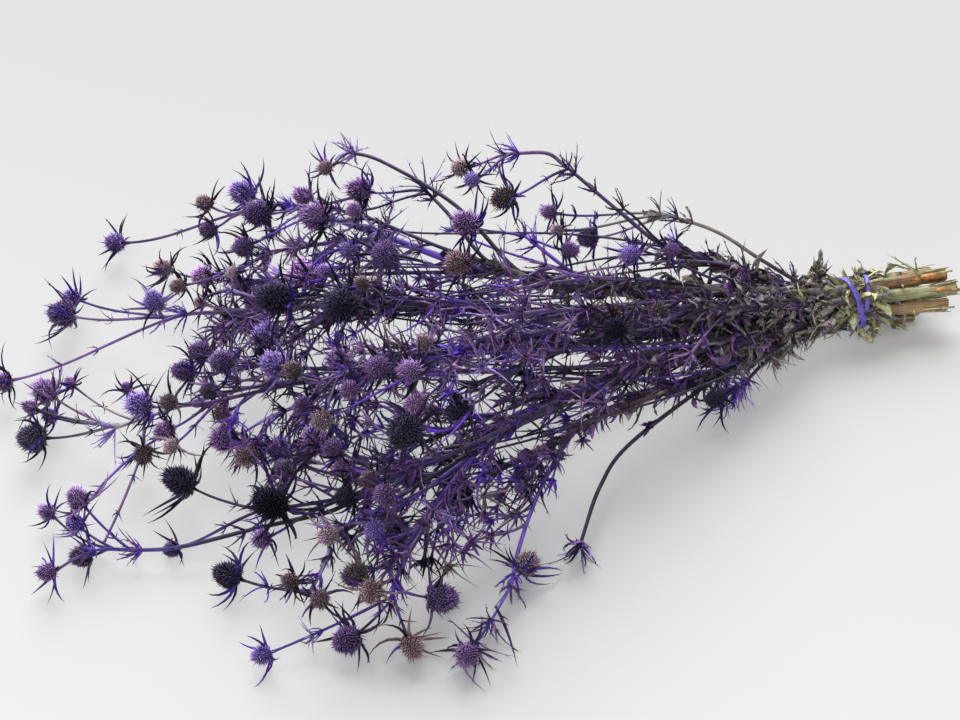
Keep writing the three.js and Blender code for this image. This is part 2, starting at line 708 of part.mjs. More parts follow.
// A tapering limb with flat ends, and with leaves drawn out of the faces of its whorls.
function limbSolid(line, sides) {
  const shell = new Shell();
  const rings = ringsAlong(shell, line, sides);
  rings.slice(1).forEach((high, i) => {
    const low = rings[i];
    for (let k = 0; k < sides; k += 1) {
      const next = (k + 1) % sides;
      const face = [low[k], low[next], high[next], high[k]];
      const tip = line[i].leaves?.[k];
      if (tip) shell.fan(face, shell.point(tip));
      else shell.cap(face);
    }
  });
  shell.cap([...rings[0]].reverse());
  shell.cap(rings[rings.length - 1]);
  return solid(shell.geometry());
}

// A face raised to a spike.
function spike(shell, a, b, c, height) {
  const [pa, pb, pc] = [a, b, c].map((i) => shell.at(i));
  const normal = pb.clone().sub(pa).cross(pc.clone().sub(pa)).normalize();
  const tip = shell.point(pa.add(pb).add(pc).divideScalar(3).addScaledVector(normal, height));
  shell.face(a, b, tip);
  shell.face(b, c, tip);
  shell.face(c, a, tip);
}

// A bract raised from the three-cornered face between the stalk's edge and the head's foot.
function bract(shell, left, right, upper, [root, middle, tip], thick) {
  const run = tip.clone().sub(root).normalize();
  const end = shell.point(tip);
  const side = shell.at(right).sub(shell.at(left)).normalize();
  const rise = side.clone().cross(run).normalize();
  if (rise.dot(shell.at(upper).sub(shell.at(left))) < 0) rise.negate();
  const low = middle.clone().addScaledVector(rise, -thick * 0.4);
  const midLeft = shell.point(low.clone().addScaledVector(side, -thick));
  const midRight = shell.point(low.clone().addScaledVector(side, thick));
  const midUpper = shell.point(middle.clone().addScaledVector(rise, thick * 0.7));
  shell.band([left, right, upper], [midLeft, midRight, midUpper]);
  shell.fan([midLeft, midRight, midUpper], end);
}

// The strip of triangles between two rings of unlike counts that turn the same way.
function strip(shell, low, high, axis) {
  const [side, other] = squareTo(axis);
  const turnsOf = (ring) => {
    const middle = new THREE.Vector3();
    ring.forEach((i) => middle.addScaledVector(shell.at(i), 1 / ring.length));
    return ring.map((i) => {
      const out = shell.at(i).sub(middle);
      return Math.atan2(out.dot(other), out.dot(side));
    });
  };
  const full = 2 * Math.PI;
  const lowTurns = turnsOf(low);
  const ahead = (turn) => (turn - lowTurns[0] + 2 * full) % full;
  const highTurns = turnsOf(high).map(ahead);
  const first = highTurns.indexOf(Math.min(...highTurns));
  const turned = high.map((_, i) => high[(first + i) % high.length]);
  const lowStops = [...low.slice(1).map((_, i) => ahead(lowTurns[i + 1])), full];
  const highStops = [...high.slice(1).map((_, i) => highTurns[(first + i + 1) % high.length]),
    full + highTurns[first]];
  let i = 0;
  let j = 0;
  while (i < low.length || j < high.length) {
    const a = low[i % low.length];
    const b = turned[j % high.length];
    if (j === high.length || lowStops[i] <= highStops[j]) {
      shell.face(a, low[(i + 1) % low.length], b);
      i += 1;
    } else {
      shell.face(a, turned[(j + 1) % high.length], b);
      j += 1;
    }
  }
}

// A head on its stalk in one skin: stalk, bracts, then a spiny egg.
function flowerSolid(flower) {
  const { axis, foot, size, points } = flower;
  const sides = flower.bracts.length;
  const large = size >= LARGE_HEAD;
  const shell = new Shell();
  const line = tapered(points, STALK_RADIUS, STALK_RADIUS_TIP);
  const rings = ringsAlong(shell, line.slice(0, -1), STALK_SIDES);
  const [side, other] = squareTo(axis);
  const ringAt = (share, radius, phase) => {
    const ring = [];
    for (let k = 0; k < sides; k += 1) {
      const turn = ((k + phase) * 2 * Math.PI) / sides;
      ring.push(shell.point(foot.clone().addScaledVector(axis, share * size)
        .addScaledVector(side, radius * Math.cos(turn))
        .addScaledVector(other, radius * Math.sin(turn))));
    }
    return ring;
  };
  const neck = ringAt(0, STALK_RADIUS_TIP * 1.25, 0);
  rings.slice(1).forEach((ring, i) => shell.band(rings[i], ring));
  shell.face(rings[0][2], rings[0][1], rings[0][0]);
  strip(shell, rings[rings.length - 1], neck, axis);
  const belly = ringAt(BELLY.along, size * BELLY.out, 0.5);
  const shoulder = ringAt(SHOULDER.along, size * SHOULDER.out, 0);
  const crown = shell.point(foot.clone().addScaledVector(axis, size * CROWN.along));
  for (let k = 0; k < sides; k += 1) {
    const next = (k + 1) % sides;
    const previous = (k + sides - 1) % sides;
    if (large) {
      bract(shell, neck[k], neck[next], belly[k], flower.bracts[k], BRACT_THICK);
    } else {
      const tip = shell.point(flower.bracts[k][2]);
      shell.fan([neck[k], neck[next], belly[k]], tip);
    }
    shell.face(neck[k], belly[k], belly[previous]);
    spike(shell, belly[k], shoulder[next], shoulder[k], size * BELLY.spike);
    spike(shell, belly[previous], belly[k], shoulder[k], size * SHOULDER.spike);
    if (large) spike(shell, shoulder[k], shoulder[next], crown, size * CROWN.spike);
    else shell.face(shoulder[k], shoulder[next], crown);
  }
  return solid(shell.geometry());
}

// One body of all a stem's parts.
function stemSolid(plant) {
  const parts = [];
  plant.limbs.forEach((limb, i) => {
    parts.push(limbSolid(limb.line, i === 0 ? TRUNK_SIDES : BRANCH_SIDES));
  });
  plant.flowers.forEach((flower) => parts.push(flowerSolid(flower)));
  return wasm.Manifold.union(parts);
}

// ---------------------------------------------------------------- the tie

function bandSolid(turn) {
  const shell = new Shell();
  const half = BAND_WIDTH / 2;
  const rings = [
    bandRing(turn, BAND_INNER, -half),
    bandRing(turn, BAND_INNER, half),
    bandRing(turn, BAND_INNER + BAND_THICK, half),
    bandRing(turn, BAND_INNER + BAND_THICK, -half),
  ].map((ring) => ring.map((point) => shell.point(point)));
  rings.forEach((ring, i) => shell.band(ring, rings[(i + 1) % rings.length]));
  return solid(shell.geometry());
}

// ---------------------------------------------------------------- the bunch

const stemTones = [
  0x4d3a6b, 0x5a4350, 0x4b2f7a, 0x54397c, 0x40325e, 0x5b3f86, 0x3f2f63, 0x4a3474, 0x553a4a,
];
const bunch = new THREE.Group();

function addNode(name, manifold, colour, roughness) {
  const material = new THREE.MeshStandardMaterial({ color: colour, roughness, metalness: 0 });
  const mesh = new THREE.Mesh(geometryOf(manifold), material);
  mesh.name = name;
  bunch.add(mesh);
}

plants.forEach((plant, i) => addNode(plant.stem.name, stemSolid(plant), stemTones[i], 0.75));
addNode("tie_band", wasm.Manifold.union(BAND_TURNS.map(bandSolid)), 0x3b2bd0, 0.5);

export default bunch;
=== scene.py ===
"""The looks of a tied bunch of dried sea holly, dyed violet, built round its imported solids.

The layout below is the one that the solids are grown from, with the same rules and the same
repeatable draws, so every stalk, head, bract and whorl lies where its solid lies. Each of the
nine stems gets three pieces: its stalks, its flower heads, and its bracts and leaves. The tie
gets one more. Lengths are millimetres until a piece's mesh is made.
"""

import math

import bpy
import numpy as np
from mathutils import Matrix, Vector


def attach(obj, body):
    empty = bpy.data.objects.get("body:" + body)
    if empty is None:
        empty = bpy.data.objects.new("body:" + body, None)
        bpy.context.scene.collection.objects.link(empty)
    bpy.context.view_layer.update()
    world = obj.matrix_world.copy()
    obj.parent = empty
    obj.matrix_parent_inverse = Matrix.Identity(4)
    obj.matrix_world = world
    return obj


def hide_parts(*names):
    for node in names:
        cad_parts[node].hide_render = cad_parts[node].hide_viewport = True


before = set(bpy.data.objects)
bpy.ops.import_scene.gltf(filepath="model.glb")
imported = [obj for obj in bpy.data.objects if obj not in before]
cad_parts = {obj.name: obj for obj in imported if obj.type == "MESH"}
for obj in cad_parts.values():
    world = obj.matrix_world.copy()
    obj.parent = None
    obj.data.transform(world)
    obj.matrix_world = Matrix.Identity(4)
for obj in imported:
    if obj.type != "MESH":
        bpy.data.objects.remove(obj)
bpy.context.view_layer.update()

MM = 0.001

# ---------------------------------------------------------------- the solids' dimensions

LAYOUT_WIDE = 960
LAYOUT_HIGH = 720
STEP = 0.6  # millimetres to a step of the layout, at the middle of the bunch
VIEW_RISE = math.radians(40)
EYE_DISTANCE = 1360
MIDDLE_HEIGHT = 45
BOX_FOOT = np.array([1.6, -24.6, 0.7])

BUNDLE_HEIGHT = 18.2
RING_RADIUS = 11.6
TIE_PLACE = (850, 303, BUNDLE_HEIGHT)
ENDS_PLACE = (934, 292, BUNDLE_HEIGHT)
ENDS_SPLAY = 1.13
FAN_START = 30
FAN_SPLAY = 1.12
TIED = (-14, 12)  # along the bundle, where the stems lie closest

TRUNK_RADIUS_TIP = 1.9
BRANCH_RADIUS = 1.75
BRANCH_RADIUS_TIP = 1.35
STALK_RADIUS = 0.85
STALK_RADIUS_TIP = 1.05

TRUNK_SIDES = 6
BRANCH_SIDES = 4
TRUNK_STEPS = 10
STALK_STEPS = 3
SHORT_STALK = 34
STALK_SPACING = 3

HEAD_SINK = 0.42
HEAD_RISE = 0.22
LARGE_HEAD = 16
WHORL_STRETCH = 2.4
STRETCH_MARGIN = 0.5
FORK_LEAF = 14
FORK_LEAF_BACK = 1.5
DRY_LEAF = 19
DRY_WHORLS_BACK = (150, 190, 235, 285)
LEAF_CHANCE = 0.7
FORK_STATIONS = 5  # a whorl this near a limb's end is the fork's
TRUNK_FINE = 7  # steps of the drawn line to one of the solid's
BRANCH_FINE = 6
ROOT_FINE = 4  # the same for the points that shoots and leaves grow from

BAND_WIDTH = 3.2
BAND_THICK = 1.1
BAND_INNER = 16.25
BAND_SIDES = 16
BAND_TURNS = (  # along the bundle, tilt about the upright, tilt about the level line
    (-7.5, 0.2, 0.12),
    (-1, -0.12, -0.2),
    (5, -0.28, 0.16),
)

GAP = 0.45
HEAD_ROOM = 0.8
HEAD_CLEAR_ALONG = 0.8
HEAD_CLEAR_OUT = 0.47
THIN_CLEAR = 0.8
FLOOR = 0.2
THIN_FLOOR = 0.65
LIMB_FLOOR = 2
LIMB_LIFTS = (0, 4, -4, 8, -8, 12, -12, 17, -17, 22, -22, 28, 34)
HEAD_LIFTS = (0, 5, -5, 10, -10, 15, -15, 20, -20, 26, -26, 32, -32, 40, -40)
BULGES = (0, 4, -4, 8, -8, 13, -13)
BRACT_TRIES = 14
LEAF_TRIES = 12
FULL_TRIES = 8  # the tries after these are shorter
SHORTENED = 0.6

# ---------------------------------------------------------------- the stems' layout

# slot: place in the tied ring in eighths of a turn, or None in the middle. cut: from the tie
# to the cut end. route: places of the stem's own line. heads: across, down, size in steps, the
# head's tone, and its height above the fork where that matters. branches: the share of the
# stem's line where they leave it, their route and their heads.
STEMS = (
    {"name": "stem_1", "slot": 1, "cut": 56, "radius": 3.5, "end": "straw", "slim": 0.6,
     "tones": "dark:dark soot:husk purple:purple dark:dark soot:husk",
     "route": ((735, 268, 52), (665, 246, 70), (620, 212, 84), (568, 168, 96)),
     "heads": ((504, 198, 28, "umber", -6),),
     "branches": (
         (0.3, ((760, 259, 50), (715, 231, 62), (660, 213, 70)),
          ((549, 212, 18, "mauve"), (557, 230, 14, "tan"), (588, 238, 24, "dusk"))),
         (1, ((545, 153, 101), (505, 154, 101)),
          ((460, 168, 20, "tan"), (472, 180, 18, "violet"))),
         (0.62, ((665, 238, 74),), ((630, 255, 22, "violet"), (672, 250, 18, "dusk"))),
         (0.31, ((822, 262, 56),), ()),
     )},
    {"name": "stem_2", "slot": 2, "cut": 62, "radius": 4.1, "end": "rust",
     "tones": "soot:soot ink:dyed ink:dark ink:dark ink:dark",
     "route": ((740, 290, 50), (650, 285, 64), (560, 286, 76), (500, 267, 86)),
     "heads": ((458, 263, 26, "brown"),),
     "branches": (
         (0.78, ((525, 236, 92),), ((466, 223, 30, "mauve"), (570, 250, 20, "dusk", 4))),
         (1, ((450, 216, 94), (425, 190, 98)),
          ((360, 190, 28, "mauve"), (355, 210, 18, "mauve"))),
         (0.95, ((440, 247, 88), (367, 217, 90)),
          ((303, 196, 22, "mauve"), (315, 217, 30, "mauve"), (348, 250, 20, "violet"),
           (385, 256, 34, "dusk", 14))),
         (0.9, ((455, 205, 102), (383, 162, 108), (348, 152, 104)),
          ((325, 168, 18, "brown"),)),
     )},
    {"name": "stem_3", "slot": 0, "cut": 50, "radius": 3.8, "end": "green",
     "tones": "dark:dyed dyed:purple dark:purple ink:dark",
     "route": ((740, 292, 34), (640, 294, 45), (480, 268, 58), (390, 238, 66),
               (300, 207, 70)),
     "heads": ((258, 213, 34, "dusk"), (243, 193, 30, "violet", 10),
               (243, 247, 24, "dusk")),
     "branches": (
         (1, ((262, 206, 66), (232, 215, 60)),
          ((205, 203, 20, "brown"), (209, 230, 20, "plum", -8),
           (115, 243, 24, "violet", -44))),
         (0.86, ((330, 243, 66), (270, 252, 60)),
          ((232, 272, 14, "tan"), (238, 284, 16, "tan"), (203, 276, 24, "rose"),
           (178, 286, 18, "brown", -8))),
         (0.7, ((340, 275, 52), (255, 283, 40)),
          ((163, 268, 22, "tan", -20), (252, 303, 18, "mauve"))),
     )},
    {"name": "stem_4", "slot": None, "cut": 58, "radius": 4, "end": "umber",
     "tones": "dark:plum ink:purple dark:plum plum:dark dark:dark",
     "route": ((740, 312, 34), (640, 319, 45), (480, 312, 52), (370, 303, 58),
               (262, 311, 54)),
     "heads": ((248, 328, 16, "plum"), (200, 303, 14, "tan")),
     "branches": (
         (1, ((200, 313, 42), (163, 318, 34)),
          ((154, 301, 24, "violet", 16), (72, 297, 20, "violet", -14),
           (62, 314, 32, "dusk", -18), (3, 382, 22, "mauve", -16))),
         (0.85, ((320, 318, 50),),
          ((265, 336, 28, "violet"), (262, 353, 18, "jet"), (232, 319, 24, "black", -20))),
         (0.74, ((385, 298, 76), (345, 288, 84)),
          ((303, 275, 32, "rose"), (325, 271, 16, "violet", 10), (275, 298, 40, "black"),
           (340, 306, 44, "black", -12))),
         (0.62, ((430, 300, 70), (400, 294, 78)), ((362, 283, 16, "umber"),)),
     )},
    {"name": "stem_5", "slot": 7, "cut": 46, "radius": 3.7, "end": "rust",
     "tones": "dark:purple pale:ash ink:purple ink:dark purple:pale",
     "route": ((740, 320, 22), (640, 337, 20), (480, 352, 28), (370, 374, 32),
               (262, 386, 34)),
     "heads": ((208, 391, 18, "slate"), (222, 413, 20, "brown", -6)),
     "branches": (
         (1, ((200, 400, 34), (150, 416, 30), (115, 428, 26)),
          ((45, 391, 28, "mauve"), (30, 407, 16, "mauve"), (50, 416, 18, "violet", -8),
           (33, 438, 32, "slate", -8), (70, 383, 14, "mauve"), (127, 388, 14, "dusk"),
           (143, 455, 22, "umber", -6))),
         (0.93, ((230, 398, 48), (205, 404, 50)),
          ((140, 405, 28, "violet"), (168, 402, 18, "umber", 8), (165, 431, 22, "mauve"),
           (171, 446, 16, "tan", -8))),
         (0.84, ((300, 368, 52), (262, 366, 60)),
          ((200, 352, 24, "dusk"), (184, 371, 26, "dusk"), (222, 362, 26, "dusk", 10))),
         (0.8, ((300, 405, 34), (268, 418, 34)),
          ((225, 438, 30, "mauve"), (246, 455, 26, "brown", -8))),
     )},
    {"name": "stem_6", "slot": 3, "cut": 66, "radius": 4.2, "end": "green",
     "tones": "maroon:dark purple:plum plum:purple dark:ink dark:dark dyed:purple",
     "route": ((740, 308, 54), (640, 313, 70), (530, 335, 88), (450, 350, 98),
               (392, 360, 100)),
     "heads": ((338, 360, 24, "mauve"), (350, 390, 20, "mauve"), (378, 368, 26, "plum", 12)),
     "branches": (
         (1, ((345, 372, 94), (325, 384, 88)),
          ((275, 365, 28, "violet"), (293, 370, 20, "umber", 8), (303, 406, 22, "dusk"),
           (322, 420, 22, "olive", -8))),
         (0.84, ((458, 372, 92),),
          ((410, 371, 24, "mauve"), (425, 343, 18, "olive", 14), (415, 405, 26, "rose"),
           (405, 432, 40, "black", -6))),
         (0.72, ((520, 368, 84),), ((460, 411, 26, "black", -8), (530, 381, 20, "dusk", -10))),
         (0.55, ((650, 330, 78),), ((612, 328, 20, "jet"),)),
         (0.6, ((560, 310, 96), (490, 318, 112)), ()),
     )},
    {"name": "stem_7", "slot": 6, "cut": 44, "radius": 3.6, "end": "umber",
     "tones": "soot:dark ink:indigo ink:dark dark:purple ink:ink",
     "route": ((740, 334, 16), (640, 372, 15), (540, 408, 18), (440, 455, 22),
               (345, 505, 22)),
     "heads": ((285, 470, 22, "slate", 8),),
     "branches": (
         (1, ((262, 527, 18), (185, 546, 14), (143, 550, 12), (108, 549, 12)),
          ((82, 556, 24, "slate", -2), (75, 523, 20, "violet"), (47, 572, 20, "mauve", -2),
           (47, 512, 18, "mauve", 6), (78, 499, 24, "mauve", 12))),
         (0.95, ((255, 512, 22),), ((172, 549, 18, "dusk", -10), (180, 481, 36, "black", 4))),
         (0.85, ((345, 478, 40),), ((280, 450, 28, "violet"), (315, 440, 28, "mauve", 10))),
         (0.9, ((310, 512, 26),), ((262, 539, 20, "mauve", -4), (270, 503, 40, "jet", 6))),
     )},
    {"name": "stem_8", "slot": 4, "cut": 60, "radius": 4.3, "end": "straw",
     "tones": "maroon:dark dark:dyed purple:dark dark:dyed ink:purple dyed:dark",
     "route": ((740, 344, 32), (640, 362, 40), (540, 412, 46), (480, 450, 44)),
     "heads": ((410, 477, 26, "violet", -6),),
     "branches": (
         (1, ((432, 515, 34), (400, 570, 20), (390, 603, 14)),
          ((347, 640, 30, "dusk", -2), (262, 655, 20, "violet", -3),
           (412, 647, 24, "brown", -2), (442, 598, 32, "dusk", 0))),
         (0.8, ((420, 468, 58), (392, 470, 62)),
          ((335, 450, 22, "plum"), (345, 468, 22, "mauve", -4), (370, 480, 20, "umber", -12),
           (345, 497, 22, "black", -16), (384, 495, 22, "plum"))),
         (0.95, ((400, 506, 40), (364, 512, 36)),
          ((328, 536, 20, "tan"), (375, 530, 22, "violet"), (396, 532, 32, "dusk", -16))),
         (0.85, ((345, 531, 30), (330, 555, 22), (310, 592, 14)),
          ((228, 575, 30, "black", 0), (320, 599, 20, "umber"), (290, 581, 18, "umber", 8))),
         (0.97, ((410, 540, 30), (392, 560, 24)),
          ((355, 575, 26, "umber"), (371, 592, 24, "brown", -6))),
     )},
    {"name": "stem_9", "slot": 5, "cut": 40, "radius": 3.9, "end": "rust",
     "tones": "maroon:maroon dark:dyed ink:ink dark:dark dark:dark",
     "route": ((790, 338, 17), (700, 378, 18), (610, 412, 19), (558, 440, 20),
               (490, 474, 22)),
     "heads": ((455, 497, 40, "black", 4),),
     "branches": (
         (0.8, ((540, 490, 20), (520, 545, 15), (511, 586, 12)),
          ((467, 655, 24, "mauve", 0), (527, 564, 26, "olive", 2))),
         (0.53, ((632, 442, 20), (600, 487, 18), (580, 545, 11)), ()),
         (0.36, ((740, 388, 15),), ((715, 399, 24, "black", -2),)),
         (0.9, ((530, 470, 30),), ((520, 487, 14, "dusk"),)),
     )},
)

# ---------------------------------------------------------------- colours

def linear(code):
    """A display colour such as 4b2f7a as a linear one."""
    display = np.array([int(code[i:i + 2], 16) for i in (0, 2, 4)]) / 255
    return np.where(display <= 0.04045, display / 12.92, ((display + 0.055) / 1.055) ** 2.4)


# A tone is the colour deep in the thing, over most of it, and at its tips.
TONES = {
    "jet": ("08060c", "1e1828", "3c3450"),
    "black": ("1c1726", "3a3248", "5c5270"),
    "slate": ("2c2638", "5a5068", "867c98"),
    "dusk": ("302544", "64507e", "9078ac"),
    "violet": ("3c2c66", "8c74b8", "b6a2da"),
    "plum": ("38284a", "6c5480", "9478a8"),
    "mauve": ("48345c", "8e70a2", "b698c8"),
    "rose": ("5e406f", "b690c4", "dabee0"),
    "umber": ("30262e", "665660", "94868e"),
    "brown": ("4c3840", "8c7680", "bca4aa"),
    "olive": ("3e3640", "806e7c", "b4a6a6"),
    "tan": ("5e4e5a", "a8929e", "d2c0c4"),
    "maroon": ("241a1c", "4e3c40", "7c646a"),
    "dark": ("180e26", "34224e", "5e4486"),
    "ink": ("0a0812", "1a1426", "362a4a"),
    "indigo": ("140a34", "3a2484", "6a50c0"),
    "dyed": ("2a1460", "5f3ab8", "9c7af0"),
    "purple": ("2a183c", "5e3e7e", "a080be"),
    "pale": ("46386a", "957ac8", "d0bcf0"),
    "moss": ("5a583c", "b0ae84", "dadab6"),
    "ash": ("3a3436", "8e848a", "beb4b8"),
    "husk": ("3a3634", "8a827e", "b8b2ae"),
    "soot": ("2a262a", "5c545b", "8f868d"),
    "straw": ("6a5436", "b4946a", "d8c29c"),
    "rust": ("54402c", "a0764e", "c8a67c"),
    "green": ("585a3c", "a8aa7c", "d2d2ac"),
}
TONES = {name: [linear(code) for code in codes] for name, codes in TONES.items()}

# ---------------------------------------------------------------- small tools

UP = np.array([0.0, 0.0, 1.0])
ACROSS = np.array([1.0, 0.0, 0.0])
EYE = np.array([
    0,
    -EYE_DISTANCE * math.cos(VIEW_RISE),
    MIDDLE_HEIGHT + EYE_DISTANCE * math.sin(VIEW_RISE),
])
WORD = 0xFFFFFFFF
FULL_TURN = 2 * math.pi
GOLDEN_TURN = math.pi * (3 - math.sqrt(5))


def place(across, down, height):
    """The point at a height on the eye's line of sight through a point of the layout."""
    right = (across - LAYOUT_WIDE / 2) * STEP
    rise = (LAYOUT_HIGH / 2 - down) * STEP
    sight = np.array([
        right,
        EYE_DISTANCE * math.cos(VIEW_RISE) + rise * math.sin(VIEW_RISE),
        -EYE_DISTANCE * math.sin(VIEW_RISE) + rise * math.cos(VIEW_RISE),
    ])
    return EYE + sight * ((height - EYE[2]) / sight[2]) - BOX_FOOT


def layout_of(points):
    """Where points lie in the layout, as across and down."""
    sight = points + BOX_FOOT - EYE
    depth = sight[:, 1] * math.cos(VIEW_RISE) - sight[:, 2] * math.sin(VIEW_RISE)
    rise = sight[:, 1] * math.sin(VIEW_RISE) + sight[:, 2] * math.cos(VIEW_RISE)
    scale = EYE_DISTANCE / depth / STEP
    return np.stack([LAYOUT_WIDE / 2 + sight[:, 0] * scale, LAYOUT_HIGH / 2 - rise * scale], 1)


def draws(seed):
    """A repeatable stream of draws between 0 and 1 for one named thing."""
    state = seed & WORD

    def draw():
        nonlocal state
        state = (state + 0x6D2B79F5) & WORD
        mixed = ((state ^ (state >> 15)) * (state | 1)) & WORD
        mixed ^= (mixed + (mixed ^ (mixed >> 7)) * (mixed | 61)) & WORD
        return (mixed ^ (mixed >> 14)) / (WORD + 1)

    return draw


def between(draw, low, high):
    """A draw between two values."""
    return low + (high - low) * draw()


def unit(vector):
    """A vector, or each of many, at length 1."""
    return vector / np.linalg.norm(vector, axis=-1, keepdims=True)


def square_to(direction):
    """Two directions square to a given one and to each other."""
    helper = UP if abs(direction[2]) < 0.9 else ACROSS
    side = unit(np.cross(helper, direction))
    return side, np.cross(direction, side)


def around(sides, turn):
    """The direction at an angle round a run, from two directions square to it."""
    side, other = sides
    return math.cos(turn) * side + math.sin(turn) * other


def tilted(run, out, lean):
    """The direction that leans by an angle from a run towards one square to it."""
    return math.cos(lean) * run + math.sin(lean) * out


def leaning(axis, turn, lean):
    """A direction that leans from an axis by an angle, turned round it by another."""
    return tilted(axis, around(square_to(axis), turn), lean)


def keep_above(points, height):
    """Points moved up, in place, where they lie lower than a height."""
    points[..., 2] = np.maximum(points[..., 2], height)


def run_at(line, i):
    """The way a line runs from one of its points to the next."""
    return unit(line[i + 1] - line[i])


def catmull(points, count):
    """Points at equal steps of a smooth curve through the given ones."""
    points = np.asarray(points, float)
    ends = np.vstack([2 * points[0] - points[1], points, 2 * points[-1] - points[-2]])
    last = len(points) - 1
    steps = np.linspace(0, last, count + 1)
    start = np.minimum(steps.astype(int), last - 1)
    t = (steps - start)[:, None]
    p0, p1, p2, p3 = (ends[start + k] for k in range(4))
    m1 = 0.5 * (p2 - p0)
    m2 = 0.5 * (p3 - p1)
    return p1 + m1 * t + (3 * (p2 - p1) - 2 * m1 - m2) * t**2 + (2 * (p1 - p2) + m1 + m2) * t**3


def bezier(points, count):
    """Points at equal steps of the curve that four points steer."""
    t = np.linspace(0, 1, count + 1)[:, None]
    p0, p1, p2, p3 = points
    return p0 * (1 - t)**3 + 3 * p1 * t * (1 - t)**2 + 3 * p2 * t**2 * (1 - t) + p3 * t**3


# ---------------------------------------------------------------- keeping clear

LIMB, STALK, HEAD, BRACT, LEAF, BAND = range(6)


class Rods:
    """Everything placed so far, as round rods with the stem, limb and flower that own them."""

    def __init__(self):
        self.ends = np.zeros((0, 2, 3))
        self.radius = np.zeros(0)
        self.owner = np.zeros((0, 4), int)

    def add(self, points, radius, stem, limb, flower, part):
        """A line of rods; -1 stands for no stem, limb or flower."""
        points = np.asarray(points)
        ends = np.stack([points[:-1], points[1:]], 1)
        self.ends = np.concatenate([self.ends, ends])
        self.radius = np.concatenate([self.radius, np.full(len(ends), float(radius))])
        self.owner = np.concatenate([self.owner, [(stem, limb, flower, part)] * len(ends)])

    def room(self, points, radius, counted):
        """The least room left between a line of points and the counted rods."""
        points = np.asarray(points)
        if len(points) < 2 or not counted.any():
            return math.inf
        a0 = points[:-1, None]
        u = points[1:, None] - a0
        b0 = self.ends[None, counted, 0]
        v = self.ends[None, counted, 1] - b0
        w = a0 - b0
        uu, uv, vv = (u * u).sum(-1), (u * v).sum(-1), (v * v).sum(-1)
        uw, vw = (u * w).sum(-1), (v * w).sum(-1)
        spread = uu * vv - uv * uv
        flat = spread <= 1e-9
        s = np.where(flat, 0, np.clip((uv * vw - vv * uw) / np.where(flat, 1, spread), 0, 1))
        t = np.clip((uv * s + vw) / vv, 0, 1)
        s = np.clip((uv * t - uw) / uu, 0, 1)
        apart = np.linalg.norm(w + u * s[..., None] - v * t[..., None], axis=-1)
        return (apart - radius - self.radius[counted]).min()


rods = Rods()


def lowest(points, radius):
    """The least height of a rod's underside."""
    return min(p[2] for p in points) - radius


# ---------------------------------------------------------------- growing the stems

tie_point = place(*TIE_PLACE)
bundle_axis = unit(tie_point - place(*ENDS_PLACE))  # away from the cut ends
bundle_back = unit(np.cross(bundle_axis, UP))


def along_bundle(points):
    """How far points lie from the tie, away from the cut ends."""
    return (points - tie_point) @ bundle_axis


def trunk_controls(stem):
    """What a stem's curve goes through: its cut end, the tie, and its route in the layout."""
    turn = 0 if stem["slot"] is None else stem["slot"] * math.pi / 4
    ring = 0 if stem["slot"] is None else RING_RADIUS
    offset = ring * around((bundle_back, UP), turn)
    stops = ((-stem["cut"], ENDS_SPLAY), (TIED[0], 1), (TIED[1], 1), (FAN_START, FAN_SPLAY))
    bundle = [tie_point + along * bundle_axis + splay * offset for along, splay in stops]
    return bundle + [place(*p) for p in stem["route"]]


def band_ring(turn, radius, slide, sides):
    """One turn of the band: a slanting slice of the bundle's round outline."""
    along, yaw, pitch = turn
    angle = np.arange(sides)[:, None] * FULL_TURN / sides
    back, up = np.cos(angle), np.sin(angle)
    lean = -radius * (back * math.tan(yaw) + up * math.tan(pitch))
    centre = tie_point + (along + slide) * bundle_axis
    return centre + radius * (back * bundle_back + up * UP) + lean * bundle_axis


class Limb:
    """A stem or a branch: its coarse line, as the solid has it, and the curve it is cut from."""

    def __init__(self, controls, count, thick, thin, heads, sides):
        self.controls = controls
        self.count = count
        self.points = catmull(controls, count)
        self.radii = thick + (thin - thick) * np.arange(count + 1) / count
        self.heads = heads
        self.sides = sides
        self.whorls = []

    def fine(self, steps):
        """The smooth line and its radius, with several steps to one of the solid's."""
        count = self.count * steps
        radii = np.interp(np.arange(count + 1) / steps, np.arange(self.count + 1), self.radii)
        return catmull(self.controls, count), radii


def branch_controls(trunk, at, route, lift):
    """What a branch's curve goes through, raised more and more towards its end."""
    along = at * (len(trunk.points) - 1)
    start = min(len(trunk.points) - 2, math.floor(along))
    before, after = trunk.points[start], trunk.points[start + 1]
    origin = before + (after - before) * (along - start)
    run = unit(after - before)
    stops = [place(across, down, height + lift * (i + 1) / len(route))
             for i, (across, down, height) in enumerate(route)]
    first = origin + run * 0.3 * np.linalg.norm(origin - stops[0])
    away = origin + (stops[0] - origin) * 0.28
    return [origin, (first + away) / 2, *stops]


def grow_branch(index, limbs, at, route, heads):
    """A branch with the first lift that keeps it clear, or else the best of them."""
    trunk = limbs[0]
    best = None
    for lift in LIMB_LIFTS:
        controls = branch_controls(trunk, at, route, lift)
        points = catmull(controls, 1 + 2 * len(route))
        own_rod = rods.owner[:, 0] == index
        others = rods.room(points, BRANCH_RADIUS, ~own_rod)
        own = rods.room(points[3:], BRANCH_RADIUS, own_rod)
        score = min(others, own) + min(0, lowest(points, LIMB_FLOOR))
        if best is None or score > best[0]:
            best = (score, controls)
        if score >= GAP:
            break
    limb = Limb(best[1], 1 + 2 * len(route), BRANCH_RADIUS, BRANCH_RADIUS_TIP, heads,
                BRANCH_SIDES)
    rods.add(limb.points, BRANCH_RADIUS, index, len(limbs), -1, LIMB)
    limbs.append(limb)


